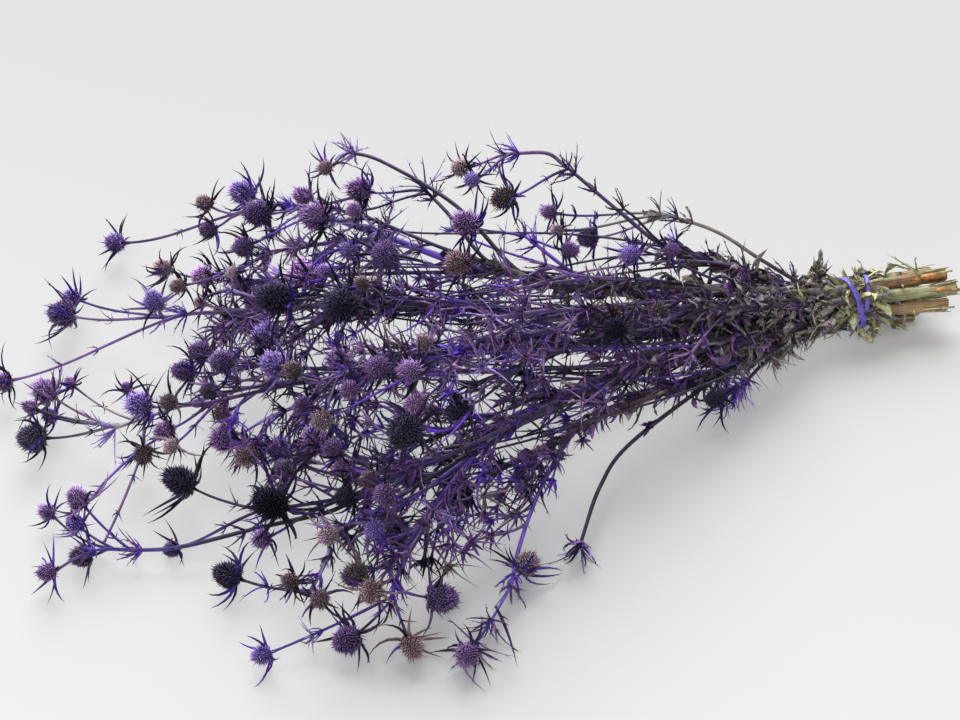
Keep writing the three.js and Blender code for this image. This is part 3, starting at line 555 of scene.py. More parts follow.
def lay_out_limbs():
    """Every trunk, then the band, then every branch where it keeps clear of what is there."""
    for index, stem in enumerate(STEMS):
        trunk = Limb(trunk_controls(stem), TRUNK_STEPS, stem["radius"], TRUNK_RADIUS_TIP,
                     stem["heads"], TRUNK_SIDES)
        rods.add(trunk.points, stem["radius"] * 0.96, index, 0, -1, LIMB)
        plants.append({"stem": stem, "index": index, "limbs": [trunk], "flowers": []})
    for turn in BAND_TURNS:
        ring = band_ring(turn, BAND_INNER + BAND_THICK / 2, 0, BAND_SIDES)
        rods.add(np.vstack([ring, ring[:1]]), BAND_WIDTH / 2, -1, -1, -1, BAND)
    for plant in plants:
        for at, route, heads in plant["stem"]["branches"]:
            grow_branch(plant["index"], plant["limbs"], at, route, heads)


plants = []
lay_out_limbs()


def point_back(points, distance):
    """The point of a line at a distance back from its end, and the line's run there."""
    left = distance
    i = len(points) - 1
    long = np.linalg.norm(points[i] - points[i - 1])
    while left > long and i > 1:
        left -= long
        i -= 1
        long = np.linalg.norm(points[i] - points[i - 1])
    run = unit(points[i] - points[i - 1])
    return points[i] - run * left, run


# ---------------------------------------------------------------- placing the heads

def stalk_to(limb, order, head, height, bulge):
    """A stalk from a fork to the foot of a head, with the head's own axis."""
    tip, run = point_back(limb.points, 1 + order * STALK_SPACING)
    size = head[2] * STEP
    middle = place(head[0], head[1], height)
    span = unit(middle - tip)
    axis = unit(span + UP * HEAD_RISE)
    foot = middle - axis * HEAD_SINK * size
    reach = np.linalg.norm(foot - tip)
    leave = unit(run * 0.25 + span)
    bend = [tip, tip + leave * reach * 0.38 + UP * bulge, foot - axis * reach * 0.34 + UP * bulge,
            foot]
    steps = STALK_STEPS if reach > SHORT_STALK else STALK_STEPS - 1
    return {"bend": bend, "points": bezier(bend, steps), "axis": axis, "foot": foot,
            "size": size, "reach": reach}


def place_head(plant, number, order, head):
    """A head on its stalk, at the first height near the wanted one that keeps it clear."""
    index = plant["index"]
    limb = plant["limbs"][number]
    count = len(plant["flowers"]) + 1
    draw = draws(index * 1000 + count * 17 + head[0])
    rise = head[4] if len(head) > 4 else between(draw, -8, 14)
    wanted = limb.points[-1][2] + rise
    size = head[2] * STEP
    own = rods.owner[:, 0] == index
    from_limb = own & (rods.owner[:, 1] == number)
    grows_here = from_limb & (rods.owner[:, 3] == LIMB)
    near = own & ~(from_limb & (rods.owner[:, 3] != HEAD))
    best = None
    for lift in HEAD_LIFTS:
        for bulge in BULGES:
            stalk = stalk_to(limb, order, head, max(size * 0.5 + FLOOR, wanted + lift), bulge)
            body = [stalk["foot"], stalk["foot"] + stalk["axis"] * size * HEAD_CLEAR_ALONG]
            body_room = rods.room(body, size * HEAD_CLEAR_OUT, ~grows_here) - HEAD_ROOM
            if best and body_room < min(best["score"], GAP):
                continue
            points = stalk["points"]
            others = rods.room(points, STALK_RADIUS_TIP, ~own)
            own_room = rods.room(points[1:], STALK_RADIUS_TIP, near)
            floor_room = min(0, lowest(points, STALK_RADIUS_TIP))
            score = min(body_room, others, own_room + 0.3, GAP + 0.4) + floor_room * 2
            if best is None or score > best["score"]:
                best = {"score": score, "body": body, **stalk}
            if best["score"] >= GAP:
                break
        if best and best["score"] >= GAP:
            break
    rods.add(best["points"], STALK_RADIUS_TIP, index, number, count, STALK)
    rods.add(best["body"], size * HEAD_CLEAR_OUT, index, number, count, HEAD)
    plant["flowers"].append({**best, "draw": draw, "number": count, "tone": head[3],
                             "limb": number})


def lay_out_heads():
    for plant in plants:
        for number, limb in enumerate(plant["limbs"]):
            for order, head in enumerate(limb.heads):
                place_head(plant, number, order, head)


lay_out_heads()


# ---------------------------------------------------------------- placing bracts and leaves

def spine(root, axis, turn, lean, curl, length):
    """A spine from a root: it leaves along one lean from the axis and curls to another."""
    middle = root + leaning(axis, turn, lean) * length * 0.5
    return [root, middle, middle + leaning(axis, turn, lean + curl) * length * 0.5]


def cut_down(attempt):
    """How much shorter a bract or a leaf is at a later try."""
    return 1 if attempt < FULL_TRIES else SHORTENED


def clear_spine(tries, make, counted):
    """The first of several tries that keeps clear of the counted rods and the surface."""
    best = None
    for attempt in range(tries):
        points = make(attempt)
        floor_room = lowest(points, THIN_FLOOR)
        clear = min(rods.room(points, THIN_CLEAR, counted), floor_room + GAP)
        if best is None or clear > best[0]:
            best = (clear, points)
        if clear >= GAP:
            break
    return best


def grow_bracts(plant, flower):
    """The bracts under a head, one in each of its sectors."""
    draw, axis, foot, size = (flower[key] for key in ("draw", "axis", "foot", "size"))
    sectors = 5 if size >= LARGE_HEAD else 4
    flower["bracts"] = []
    for k in range(sectors):
        turn = (k + 0.5) * FULL_TURN / sectors
        length = (0.75 * size + 5) * between(draw, 0.85, 1.15)
        root = foot + leaning(axis, turn, math.pi / 2) * 1.6
        own = rods.owner[:, 0] == plant["index"]
        skipped = own & ((rods.owner[:, 2] == flower["number"]) | (rods.owner[:, 3] == LIMB))

        def make(attempt):
            swing = turn + between(draw, -0.35, 0.35)
            lean = between(draw, 0.95, 1.6)
            curl = between(draw, -0.65, 0.5)
            return spine(root, axis, swing, lean, curl, length * cut_down(attempt))

        clear, points = clear_spine(BRACT_TRIES, make, ~skipped)
        if clear < GAP:
            points = spine(root, axis, turn, 1.2, 0, 3)
        else:
            rods.add(points, THIN_CLEAR, plant["index"], -1, flower["number"], BRACT)
        flower["bracts"].append(points)


def lay_out_bracts():
    for plant in plants:
        for flower in plant["flowers"]:
            grow_bracts(plant, flower)


lay_out_bracts()


def with_stretch(line, back):
    """A line with a short stretch set into it at a distance back from its end."""
    left = back
    for i in range(len(line) - 1, 0, -1):
        (end, end_radius, _), (before, before_radius, _) = line[i], line[i - 1]
        long = np.linalg.norm(end - before)
        if left + WHORL_STRETCH + STRETCH_MARGIN < long:
            stops = []
            for distance, whorl in ((left + WHORL_STRETCH, True), (left, False)):
                t = distance / long
                radius = end_radius + (before_radius - end_radius) * t
                stops.append((end + (before - end) * t, radius, whorl))
            return line[:i] + stops + line[i:]
        left = max(STRETCH_MARGIN, left - long)
    return line


def frames_along(points):
    """The run of a line at each point, and two directions square to it without twist."""
    ahead = np.vstack([points[1:], points[-1:]])
    behind = np.vstack([points[:1], points[:-1]])
    runs = unit(ahead - behind)
    sides = np.zeros_like(runs)
    side = square_to(runs[-1])[0]
    for i in range(len(points) - 1, -1, -1):
        side = unit(side - side.dot(runs[i]) * runs[i])
        sides[i] = side
    return runs, sides, np.cross(runs, sides)


def grow_whorl(plant, limb, line, station, length, draw):
    """A whorl of spiny leaves, one on each chosen face of a limb's short stretch."""
    runs, sides, others = frames_along(np.array([stop[0] for stop in line]))
    run, side, other = runs[station], sides[station], others[station]
    foot = (line[station][0] + line[station + 1][0]) / 2
    thick = line[station][1] * math.cos(math.pi / limb.sides)
    leaves = []

    def out(turn, lean):
        return tilted(run, around((side, other), turn), lean)

    for k in range(limb.sides):
        if limb.sides == TRUNK_SIDES and draw() > LEAF_CHANCE:
            continue
        reach = length * between(draw, 0.7, 1.25)
        facing = (k + 0.5) * FULL_TURN / limb.sides
        base = foot + out(facing, math.pi / 2) * thick

        def make(attempt):
            swing = facing + between(draw, -0.3, 0.3)
            tip = base + out(swing, between(draw, 0.65, 1.3)) * reach * cut_down(attempt)
            return [base + (tip - base) * 0.15, tip]

        own = (rods.owner[:, 0] == plant["index"]) & (rods.owner[:, 3] != HEAD) & (
            rods.owner[:, 3] != BRACT)
        clear, points = clear_spine(LEAF_TRIES, make, ~own)
        if clear < GAP:
            continue
        rods.add(points, THIN_CLEAR, plant["index"], -1, -1, LEAF)
        leaves.append((base, points[1]))
    limb.whorls.append({"foot": foot, "run": run, "thick": thick, "length": length,
                        "leaves": leaves})


def place_whorls(plant, number, limb):
    """The whorl at a limb's fork and, on a trunk, those of its dry lower leaves."""
    draw = draws(plant["index"] * 100 + number + 7)
    line = list(zip(limb.points, limb.radii, [False] * len(limb.points)))
    backs = [FORK_LEAF_BACK + STALK_SPACING * len(limb.heads)]
    if number == 0:
        backs += [back * between(draw, 0.9, 1.1) for back in DRY_WHORLS_BACK]
    for back in backs:
        line = with_stretch(line, back)
    for station, (_, _, has_whorl) in enumerate(line):
        if has_whorl:
            at_fork = station > len(line) - FORK_STATIONS
            grow_whorl(plant, limb, line, station, FORK_LEAF if at_fork else DRY_LEAF, draw)


def lay_out_whorls():
    for plant in plants:
        for number, limb in enumerate(plant["limbs"]):
            place_whorls(plant, number, limb)


lay_out_whorls()


# ---------------------------------------------------------------- meshes

class Pile:
    """Points, triangles and tints gathered for one piece."""

    def __init__(self):
        self.points = []
        self.faces = []
        self.tints = []
        self.flows = []
        self.count = 0

    def add(self, points, faces, tints, flows=None):
        """tints holds each point's colour, and flows its place round and along its stalk."""
        points = points.reshape(-1, 3)
        self.points.append(points)
        self.faces.append(faces + self.count)
        self.tints.append(np.broadcast_to(tints, points.shape))
        self.flows.append(np.zeros_like(points) if flows is None else flows)
        self.count += len(points)

    def build(self, name, material):
        """A smooth shaded mesh of all that was gathered, in metres."""
        points = np.concatenate(self.points) * MM
        faces = np.concatenate(self.faces)
        mesh = bpy.data.meshes.new(name)
        mesh.vertices.add(len(points))
        mesh.vertices.foreach_set("co", points.astype(np.float32).ravel())
        mesh.loops.add(faces.size)
        mesh.loops.foreach_set("vertex_index", faces.astype(np.int32).ravel())
        mesh.polygons.add(len(faces))
        mesh.polygons.foreach_set("loop_start", np.arange(0, faces.size, 3, dtype=np.int32))
        mesh.polygons.foreach_set("use_smooth", np.ones(len(faces), bool))
        tint = mesh.attributes.new("tint", "FLOAT_COLOR", "POINT")
        colours = np.ones((len(points), 4), np.float32)
        colours[:, :3] = np.concatenate(self.tints)
        tint.data.foreach_set("color", colours.ravel())
        flow = mesh.attributes.new("flow", "FLOAT_VECTOR", "POINT")
        flow.data.foreach_set("vector", np.concatenate(self.flows).astype(np.float32).ravel())
        mesh.update()
        mesh.validate()
        mesh.materials.append(material)
        piece = bpy.data.objects.new(name, mesh)
        bpy.context.scene.collection.objects.link(piece)
        return piece


def ring_faces(rings, sides):
    """The triangles of a tube of rings of equal count."""
    low = np.arange(rings - 1)[:, None] * sides
    k = np.arange(sides)[None]
    after = (k + 1) % sides
    a, b, c, d = low + k, low + after, low + sides + after, low + sides + k
    return np.concatenate([np.stack([a, b, c], -1).reshape(-1, 3),
                           np.stack([a, c, d], -1).reshape(-1, 3)])


def capped_faces(rings, sides):
    """The triangles of a tube closed at both ends, with its two end points after its rings."""
    k = np.arange(sides)
    after = (k + 1) % sides
    last = (rings - 1) * sides
    start = np.stack([after, k, np.full(sides, rings * sides)], -1)
    end = np.stack([last + k, last + after, np.full(sides, rings * sides + 1)], -1)
    return np.concatenate([ring_faces(rings, sides), start, end])


def repeated(faces, count, size):
    """The same triangles for several bodies, one after the other."""
    return (faces[None] + (np.arange(count) * size)[:, None, None]).reshape(-1, 3)


def close_rings(pile, rings, tips, tints):
    """Closed bodies, each a row of rings that ends in a point.

    rings is bodies by rings by sides by 3, tips is bodies by 3, and tints is bodies by rings
    and the tip by 3.
    """
    bodies, count, sides = rings.shape[:3]
    points = np.concatenate([rings.reshape(bodies, -1, 3), tips[:, None]], 1)
    size = points.shape[1]
    last = (count - 1) * sides
    k = np.arange(sides)
    end = np.stack([last + k, last + (k + 1) % sides, np.full(sides, size - 1)], -1)
    foot = np.stack([np.zeros(sides - 2, int), k[2:], k[1:-1]], -1)
    faces = np.concatenate([ring_faces(count, sides), end, foot])
    tints = np.broadcast_to(tints, (bodies, count + 1, 3))
    shades = np.concatenate([np.repeat(tints[:, :-1], sides, 1), tints[:, -1:]], 1)
    pile.add(points, repeated(faces, bodies, size), shades.reshape(-1, 3))


def sections(paths, up):
    """The runs of paths and two directions square to them, the second as near up as can be."""
    runs = unit(np.gradient(paths, axis=1))
    across = unit(np.cross(runs, up) + 1e-9)
    return runs, across, np.cross(across, runs)


def sweep(pile, paths, wide, thick, up, tints, sides):
    """Closed pointed bodies swept along paths of equal count, in one go.

    paths is bodies by stations by 3; wide and thick are the half width and half thickness at
    each station; up is the way each section's thickness faces; tints are the colours.
    """
    _, across, top = sections(paths, up)
    turn = np.arange(sides) * FULL_TURN / sides + math.pi / 2
    out = (wide[..., None, None] * np.cos(turn)[:, None] * across[:, :, None]
           + thick[..., None, None] * np.sin(turn)[:, None] * top[:, :, None])
    rings = (paths[:, :, None] + out)[:, :-1]
    close_rings(pile, rings, paths[:, -1], tints)


def tube(pile, line, radii, sides, tints, ridges=0, ridge=0.0, twist=0.0):
    """A stalk: a ridged tube with closed ends."""
    _, across, other = frames_along(line)
    turn = np.arange(sides) * FULL_TURN / sides
    travel = np.concatenate([[0], np.cumsum(np.linalg.norm(np.diff(line, axis=0), axis=1))])
    phase = turn[None] + twist * travel[:, None]
    wave = 1 + ridge * np.cos(ridges * phase) if ridges else np.ones((len(line), sides))
    out = (np.cos(turn)[None, :, None] * across[:, None]
           + np.sin(turn)[None, :, None] * other[:, None])
    rings = line[:, None] + out * (radii[:, None] * wave)[..., None]
    points = np.concatenate([rings.reshape(-1, 3), line[:1], line[-1:]])
    flows = np.stack([np.broadcast_to(np.cos(turn), phase.shape) * radii[:, None],
                      np.broadcast_to(np.sin(turn), phase.shape) * radii[:, None],
                      np.broadcast_to(travel[:, None], phase.shape)], -1).reshape(-1, 3)
    flows = np.concatenate([flows, [[0, 0, 0], [0, 0, travel[-1]]]])
    shades = np.concatenate([np.repeat(tints, sides, 0), tints[:1], tints[-1:]])
    pile.add(points, capped_faces(len(line), sides), shades, flows)


# ---------------------------------------------------------------- flower heads

def egg(foot, axis, length, half_wide, theta, phi):
    """Points of an egg and the ways it faces there; theta runs from its foot to its top."""
    side, other = square_to(axis)
    out = np.cos(phi)[:, None] * side + np.sin(phi)[:, None] * other
    sin, cos = np.sin(theta)[:, None], np.cos(theta)[:, None]
    swell = 1 + 0.13 * cos
    points = foot + axis * length * 0.5 * (1 - cos) + out * half_wide * sin * swell
    facing = unit(out * sin * length * 0.5 - axis * cos * half_wide)
    return points, facing, out


HEAD_GAIN = 1.55
EGG_LONG = 0.84  # of a head's size, as its florets stand out beyond it
EGG_WIDE = 0.78
LARGE_FROM = 21  # mm
LARGE_SLIM = 0.78
SMALL_SLIM = (0.84, 0.94)
CORE_SHARE = 0.93
FINE_TONES = ("jet", "black", "slate", "dusk")  # of the heads with more and shorter florets
FLORETS = {True: (104, 9.6), False: (86, 8.2)}  # fine or not: how many, and more for each mm
FLORET_REACH = {True: 0.9, False: 1.15}
FLORET_LONG = (0.11, 0.19)  # of a head's size
FLORET_LEAST = 1.6
FLORET_LIGHT = (0.72, 1.25)
LOBE_LONG = (0.06, 0.1)
CORE_RINGS = 7
CORE_SIDES = 10
LONG_SHARE = 0.3  # of the florets
LONG_REACH = 1.6
TOP_LIGHT = 0.38  # painted light: up-facing florets lighter, down-facing ones darker
# The way that the painted light comes from: florets that face it are made lighter.
PAINTED_LIGHT_SIDE = unit(np.array([0.0, 0.1, 1.0]))


def head_core(pile, foot, axis, length, half_wide, tone):
    """The dark egg that the florets stand on."""
    theta = np.repeat(np.linspace(0.25, math.pi - 0.2, CORE_RINGS), CORE_SIDES)
    phi = np.tile(np.arange(CORE_SIDES) * FULL_TURN / CORE_SIDES, CORE_RINGS)
    points = egg(foot, axis, length, half_wide, theta, phi)[0]
    points = np.concatenate([points, [foot], [foot + axis * length]])
    keep_above(points, FLOOR)
    pile.add(points, capped_faces(CORE_RINGS, CORE_SIDES), tone[0] * 0.8 + tone[1] * 0.2)


def grow_head(pile, flower, seed):
    """A head: spiny florets in their spiral round an egg, each a stiff point over a calyx."""
    rng = np.random.default_rng(seed)
    tone = [colour * HEAD_GAIN for colour in TONES[flower["tone"]]]
    foot, axis, size = flower["foot"], flower["axis"], flower["size"]
    fine = flower["tone"] in FINE_TONES
    slim = LARGE_SLIM if size > LARGE_FROM else rng.uniform(*SMALL_SLIM)
    length = size * EGG_LONG
    half_wide = size * 0.5 * slim * EGG_WIDE
    head_core(pile, foot, axis, length, half_wide * CORE_SHARE, tone)
    least, more = FLORETS[fine]
    count = int(least + more * size)
    k = np.arange(count)
    share = (k + 0.5) / count
    theta = np.arccos(1 - 2 * (0.05 + 0.95 * share))
    phi = k * GOLDEN_TURN + rng.normal(0, 0.06, count)
    points, facing, out = egg(foot, axis, length, half_wide, theta, phi)
    jitter = rng.normal(0, 0.16, (count, 3))
    aim = unit(facing + axis * 0.3 + jitter)
    reach = size * rng.uniform(*FLORET_LONG, count) * FLORET_REACH[fine]
    reach = np.where(rng.random(count) < LONG_SHARE, reach * LONG_REACH, reach)
    reach = np.maximum(reach, FLORET_LEAST)[:, None]
    bend = unit(aim + axis * 0.35 + rng.normal(0, 0.1, (count, 3)))
    start = points - facing * 0.25
    middle = start + aim * reach * 0.55
    paths = np.stack([start, middle, middle + bend * reach * 0.5], 1)
    keep_above(paths, FLOOR + 0.4)
    stout = (0.25 + 0.01 * size) * rng.uniform(0.85, 1.2, count)
    wide = np.stack([stout, stout * 0.62, stout * 0], 1)
    light = rng.uniform(*FLORET_LIGHT, (count, 1))
    # Painted light and shade: florets that face up are lighter, those that face down darker.
    light *= 1.02 + TOP_LIGHT * (facing @ PAINTED_LIGHT_SIDE)[:, None]
    tints = np.stack([colour * light for colour in tone], 1)
    sweep(pile, paths, wide, wide, out[:, None] + 0.01, tints, 3)
    # The blunt calyx lobes between the points.
    phi = (k + 0.5) * GOLDEN_TURN
    points, facing, out = egg(foot, axis, length, half_wide, theta, phi)
    aim = unit(facing + axis * 0.15 + rng.normal(0, 0.2, (count, 3)))
    reach = (size * rng.uniform(*LOBE_LONG, count))[:, None]
    start = points - facing * 0.3
    paths = np.stack([start, start + aim * (reach + 0.3)], 1)
    keep_above(paths, FLOOR + 0.6)
    stout = np.stack([stout * 1.7, stout * 0], 1)
    tints = np.stack([tone[0] * light, (tone[1] * 0.55 + tone[2] * 0.45) * light], 1)
    sweep(pile, paths, stout, stout, out[:, None] + 0.01, tints, 3)


# ---------------------------------------------------------------- bracts and leaves

LONG_BLADE = 15  # mm; a longer one gets a sixth station
BRACT_PROFILES = {
    6: np.array([0.85, 1.0, 0.88, 0.64, 0.34, 0.0]),
    5: np.array([0.87, 1.0, 0.76, 0.4, 0.0]),
}
SPINE_PROFILE = np.array([1.0, 0.55, 0.0])
STRIP_STATIONS = 6
STRIP_PROFILE = np.array([0.7, 1.0, 1.0, 0.9, 0.6, 0.0])


class Blades:
    """Bracts, leaves and their spines, gathered by their count of stations."""

    def __init__(self):
        self.rows = {}

    def add(self, path, wide, thick, up, tints):
        """A blade as sweep takes it, but for one up along all of it."""
        self.rows.setdefault(len(path), []).append((path, wide, thick, up, tints))

    def sweep_into(self, pile):
        for rows in self.rows.values():
            paths, wide, thick, up, tints = (np.array(column) for column in zip(*rows))
            keep_above(paths, FLOOR + np.minimum(wide, 1.2))
            sweep(pile, paths, wide, thick, up[:, None], tints, 3)


def shaded(tone, count, rng, foot=0.1, tip=0.25, low=0.38, high=1.5):
    """Colours along a blade: -1 is the tone's deep colour, 0 its main one and 1 its light one."""
    share = np.linspace(foot, tip, count)[:, None]
    toward = np.where(share < 0, tone[0], tone[2])
    return (tone[1] + (toward - tone[1]) * np.abs(share)) * rng.uniform(low, high)


def curved(start, middle, end, count):
    """A bowed line from start to end whose halfway point is the middle one."""
    t = np.linspace(0, 1, count)[:, None]
    pull = 2 * middle - (start + end) / 2
    return start * (1 - t)**2 + 2 * pull * t * (1 - t) + end * t**2


def grow_spines(blades, path, up, half_wide, tone, rng, count, reach):
    """Sharp side spines on a blade."""
    runs = unit(np.gradient(path, axis=0))
    hand = rng.choice([-1, 1])
    for share in np.linspace(0.18, 0.75, count) + rng.uniform(-0.07, 0.07, count):
        place_on = share * (len(path) - 1)
        i = int(place_on)
        start = path[i] + (path[i + 1] - path[i]) * (place_on - i)
        hand = -hand
        across = unit(np.cross(runs[i], up)) * hand
        way = unit(tilted(runs[i], across, rng.uniform(0.45, 0.95))
                   + up * rng.uniform(-0.35, 0.35))
        long = reach * rng.uniform(0.6, 1.2) * (1.1 - 0.6 * share)
        foot = start + way * (half_wide * 0.2 - 0.2)
        bend = start + way * long * 0.5
        tip = start + unit(way + runs[i] * 0.4) * long
        blades.add(np.array([foot, bend, tip]), SPINE_PROFILE * half_wide * 0.62,
                   SPINE_PROFILE * half_wide * 0.4, up, shaded(tone, 3, rng))


def grow_blade(blades, points, up, tone, rng, half_wide, spines, reach=0.22, stout=0.6,
               tips=(0.1, 0.25)):
    """A long narrow pointed blade through three points, with some side spines."""
    root, middle, tip = (np.asarray(p) for p in points)
    sway = np.cross(tip - root, up) * rng.normal(0, 0.09)
    tip = tip - sway * 0.5
    tip[2] = max(tip[2], THIN_FLOOR)
    long = np.linalg.norm(tip - root)
    stations = 6 if long > LONG_BLADE else 5
    profile = BRACT_PROFILES[stations] * half_wide
    path = curved(root - (middle - root) * 0.12, middle + sway, tip, stations)
    facing = unit(up + rng.normal(0, 0.3, 3))
    blades.add(path, profile, profile * stout, facing, shaded(tone, stations, rng, *tips))
    if spines:
        grow_spines(blades, path, facing, half_wide, tone, rng, spines, long * reach)


def pick(rng, choice):
    """A tone drawn from a table of names and weights."""
    names = list(choice)
    weights = np.array([choice[name] for name in names], float)
    return TONES[rng.choice(names, p=weights / weights.sum())]


COLLAR_RISE = 0.1  # of a head's size, from its foot to where the bracts leave it
COLLAR_OUT = 0.22
BRACT_LEAST = 4  # mm; a shorter one of the solid's gives way to a new one
BRACTS = {True: 12, False: 9}  # round a large head and a small one
MANY_BRACTS_FROM = 12  # mm
SPINY_FROM = 10  # mm
OWN_TONE = 0.25  # the share of heads whose bracts have the head's tone
SAME_TONE = 0.7

BRACT_TONES = {"ink": 4, "dark": 4, "indigo": 3, "dyed": 1, "purple": 1.5}
STALK_TONES = {"dyed": 2, "indigo": 4, "dark": 3, "ink": 1.5, "purple": 2.5, "plum": 1}
WHORL_TONES = {"dyed": 4, "purple": 3, "pale": 2.2, "dark": 2}
DRY_TONES = {"ash": 4, "plum": 2, "soot": 3, "purple": 2}
CUT_TONES = {"moss": 3, "green": 2, "ash": 2}
STRIP_TONES = {"green": 4, "moss": 3, "straw": 2, "umber": 1}
# Tones of the sprigs that sit high and of those that sit low: painted light and painted shade.
PAINTED_LIT_TONES = {"purple": 5, "mauve": 3.5, "plum": 2, "dyed": 3, "pale": 1, "umber": 1}
PAINTED_SHADE_TONES = {"dark": 4, "ink": 4, "plum": 2, "purple": 2, "soot": 2}
FIBRE_TONES = {"soot": 3, "umber": 3, "maroon": 0.6, "plum": 4, "purple": 4, "mauve": 1, "ash": 2}


def grow_flower_bracts(blades, flower, seed):
    """The solid's bracts, drawn out and hooked, and others between them."""
    rng = np.random.default_rng(seed)
    axis, foot, size = flower["axis"], flower["foot"], flower["size"]
    half_wide = 0.72 + 0.028 * size
    collar = foot + axis * size * COLLAR_RISE
    main = TONES[flower["tone"]] if rng.random() < OWN_TONE else pick(rng, BRACT_TONES)
    all_points = []
    for root, middle, tip in flower["bracts"]:
        if np.linalg.norm(tip - root) > BRACT_LEAST:
            stretch = rng.uniform(1.2, 1.7)
            out = unit(root - foot)
            all_points.append((collar + out * size * COLLAR_OUT, middle,
                               middle + (tip - middle) * stretch))
    count = BRACTS[size > MANY_BRACTS_FROM] - len(all_points)
    start = rng.uniform(0, FULL_TURN)
    for k in range(count):
        turn = start + (k + rng.uniform(-0.3, 0.3)) * FULL_TURN / count
        root = collar + leaning(axis, turn, math.pi / 2) * size * COLLAR_OUT
        length = (0.8 * size + 9.5) * rng.uniform(0.7, 1.2)
        for lean, curl in ((rng.uniform(0.85, 1.65), rng.uniform(-0.9, 0.9)), (0.9, -0.4)):
            points = spine(root, axis, turn, lean, curl, length)
            if lowest(points, THIN_FLOOR) > 0:
                all_points.append(points)
                break
    for points in all_points:
        tone = main if rng.random() < SAME_TONE else pick(rng, BRACT_TONES)
        spines = int(rng.integers(0, 3)) if size > SPINY_FROM else 0
        grow_blade(blades, points, axis, tone, rng, half_wide * rng.uniform(0.85, 1.1), spines,
                   reach=0.12, stout=0.85, tips=(0.15, -0.8))


def grow_star(blades, foot, run, count, length, tone, rng, thick=0.6, half_wide=0.75, spines=3):
    """A ring of narrow spiny leaves round a stalk."""
    sides = square_to(run)
    for k in range(count):
        out = around(sides, (k + rng.uniform(-0.35, 0.35)) * FULL_TURN / count)
        base = foot + out * thick * 0.6
        way = tilted(run, out, rng.uniform(0.45, 1.35))
        long = length * rng.uniform(0.65, 1.25)
        tip = base + (way + out * rng.uniform(-0.45, 0.5)) * long
        middle = base + way * long * 0.52
        if min(tip[2], middle[2]) < THIN_FLOOR:
            tip[2] = middle[2] = THIN_FLOOR + 0.3
        grow_blade(blades, (base, middle, tip), unit(run + out * 0.4), tone, rng, half_wide,
                   spines)


def grow_brush(blades, foot, run, count, length, tone, rng):
    """A half-open bud: a brush of fine points."""
    sides = square_to(run)
    for _ in range(count):
        out = around(sides, rng.uniform(0, FULL_TURN))
        way = tilted(run, out, rng.uniform(0, 1.4))
        base = foot + run * rng.uniform(-0.5, 1.5)
        long = length * rng.uniform(0.6, 1.1)
        path = np.array([base, base + way * long * 0.5, base + unit(way + run * 0.3) * long])
        keep_above(path, THIN_FLOOR)
        blades.add(path, SPINE_PROFILE * 0.6, SPINE_PROFILE * 0.4, out, shaded(tone, 3, rng))


def grow_tuft(blades, foot, run, length, tone, rng):
    """A crowd of small curled leaves."""
    grow_brush(blades, foot, run, 26, length * 0.75, tone, rng)
    grow_star(blades, foot, run, 16, length, tone, rng, thick=0.8, half_wide=0.65, spines=1)


BARE_ENDS = -8  # mm along the bundle; nearer the cut ends a whorl gets no more leaves


def grow_whorl_leaves(blades, whorl, tones, seed):
    """The solid's leaves of a whorl, and more between them."""
    rng = np.random.default_rng(seed)
    tone = pick(rng, tones)
    half_wide = 0.8 if whorl["length"] == FORK_LEAF else 1.0
    for base, tip in whorl["leaves"]:
        span = tip - base
        out = unit(base - whorl["foot"])
        middle = base + span * 0.5 + np.cross(span, out) * rng.uniform(-0.1, 0.1)
        up = unit(np.cross(span, np.cross(whorl["run"], span)) + 1e-6)
        grow_blade(blades, (base, middle, tip), up, tone, rng, half_wide, 4)
    if along_bundle(whorl["foot"]) > BARE_ENDS:
        grow_star(blades, whorl["foot"], whorl["run"], 7, whorl["length"] * 1.2, tone, rng,
                  whorl["thick"], half_wide, spines=4)


# ---------------------------------------------------------------- stalks

def wander(rng, count, knots):
    """A smooth run of values round 1."""
    values = rng.uniform(0.58, 1.4, knots)
    return np.interp(np.linspace(0, knots - 1, count), np.arange(knots), values)


def limb_tints(count, near, far, rng):
    """A limb's colour along its length, from one tone to another."""
    t = np.clip(np.linspace(-0.4, 1.4, count)[:, None] + rng.uniform(-0.3, 0.3), 0, 1)
    base = near[1] * 0.75 + near[2] * 0.25
    tip = far[1] * 0.75 + far[2] * 0.25
    return (base * (1 - t) + tip * t) * wander(rng, count, max(4, count // 6))[:, None]


def trunk_line(plant):
    """A trunk's drawn line and its radius along it."""
    return plant["limbs"][0].fine(TRUNK_FINE)


AGED_FROM = -42  # mm along the bundle; past here the dye takes over from the bare wood
AGED_OVER = 50
SLIM_OVER = 110  # mm past the fan's start, over which a slim stem thins out


def grow_trunk(pile, plant, seed):
    """A stem's own stalk, with swellings, its bare cut end and its dyed length."""
    rng = np.random.default_rng(seed)
    line, radii = trunk_line(plant)
    tints = limb_tints(len(line), *plant["limbs"][0].tones, rng)
    end_tone = TONES[plant["stem"]["end"]]
    along = along_bundle(line)[:, None]
    aged = np.clip((along - AGED_FROM) / AGED_OVER, 0, 1)
    tints = end_tone[1] * (1 - aged) + tints * aged
    swelling = 1 + 0.05 * np.sin(np.arange(len(line)) * 0.9 + seed) * wander(rng, len(line), 9)
    radii = radii * swelling * 0.96
    if "slim" in plant["stem"]:
        beyond = np.clip((along[:, 0] - FAN_START) / SLIM_OVER, 0, 1)
        radii = radii * (1 - (1 - plant["stem"]["slim"]) * beyond)
    rim = line[:1] + unit(line[:1] - line[1:2]) * 0.5
    line = np.vstack([rim, line])
    radii = np.concatenate([radii[:1] * 0.72, radii])
    tints = np.vstack([end_tone[2][None], tints])
    tube(pile, line, radii, 14, tints, ridges=7, ridge=0.06, twist=0.012)


STRIPS = 9  # of bark, at each cut end
PEELED = {"stem_2": (3.0, 24), "stem_9": (2.2, 14), "stem_6": (1.6, 18)}
PEEL_TONE = ("6a4020", "c88a50", "e2b888")


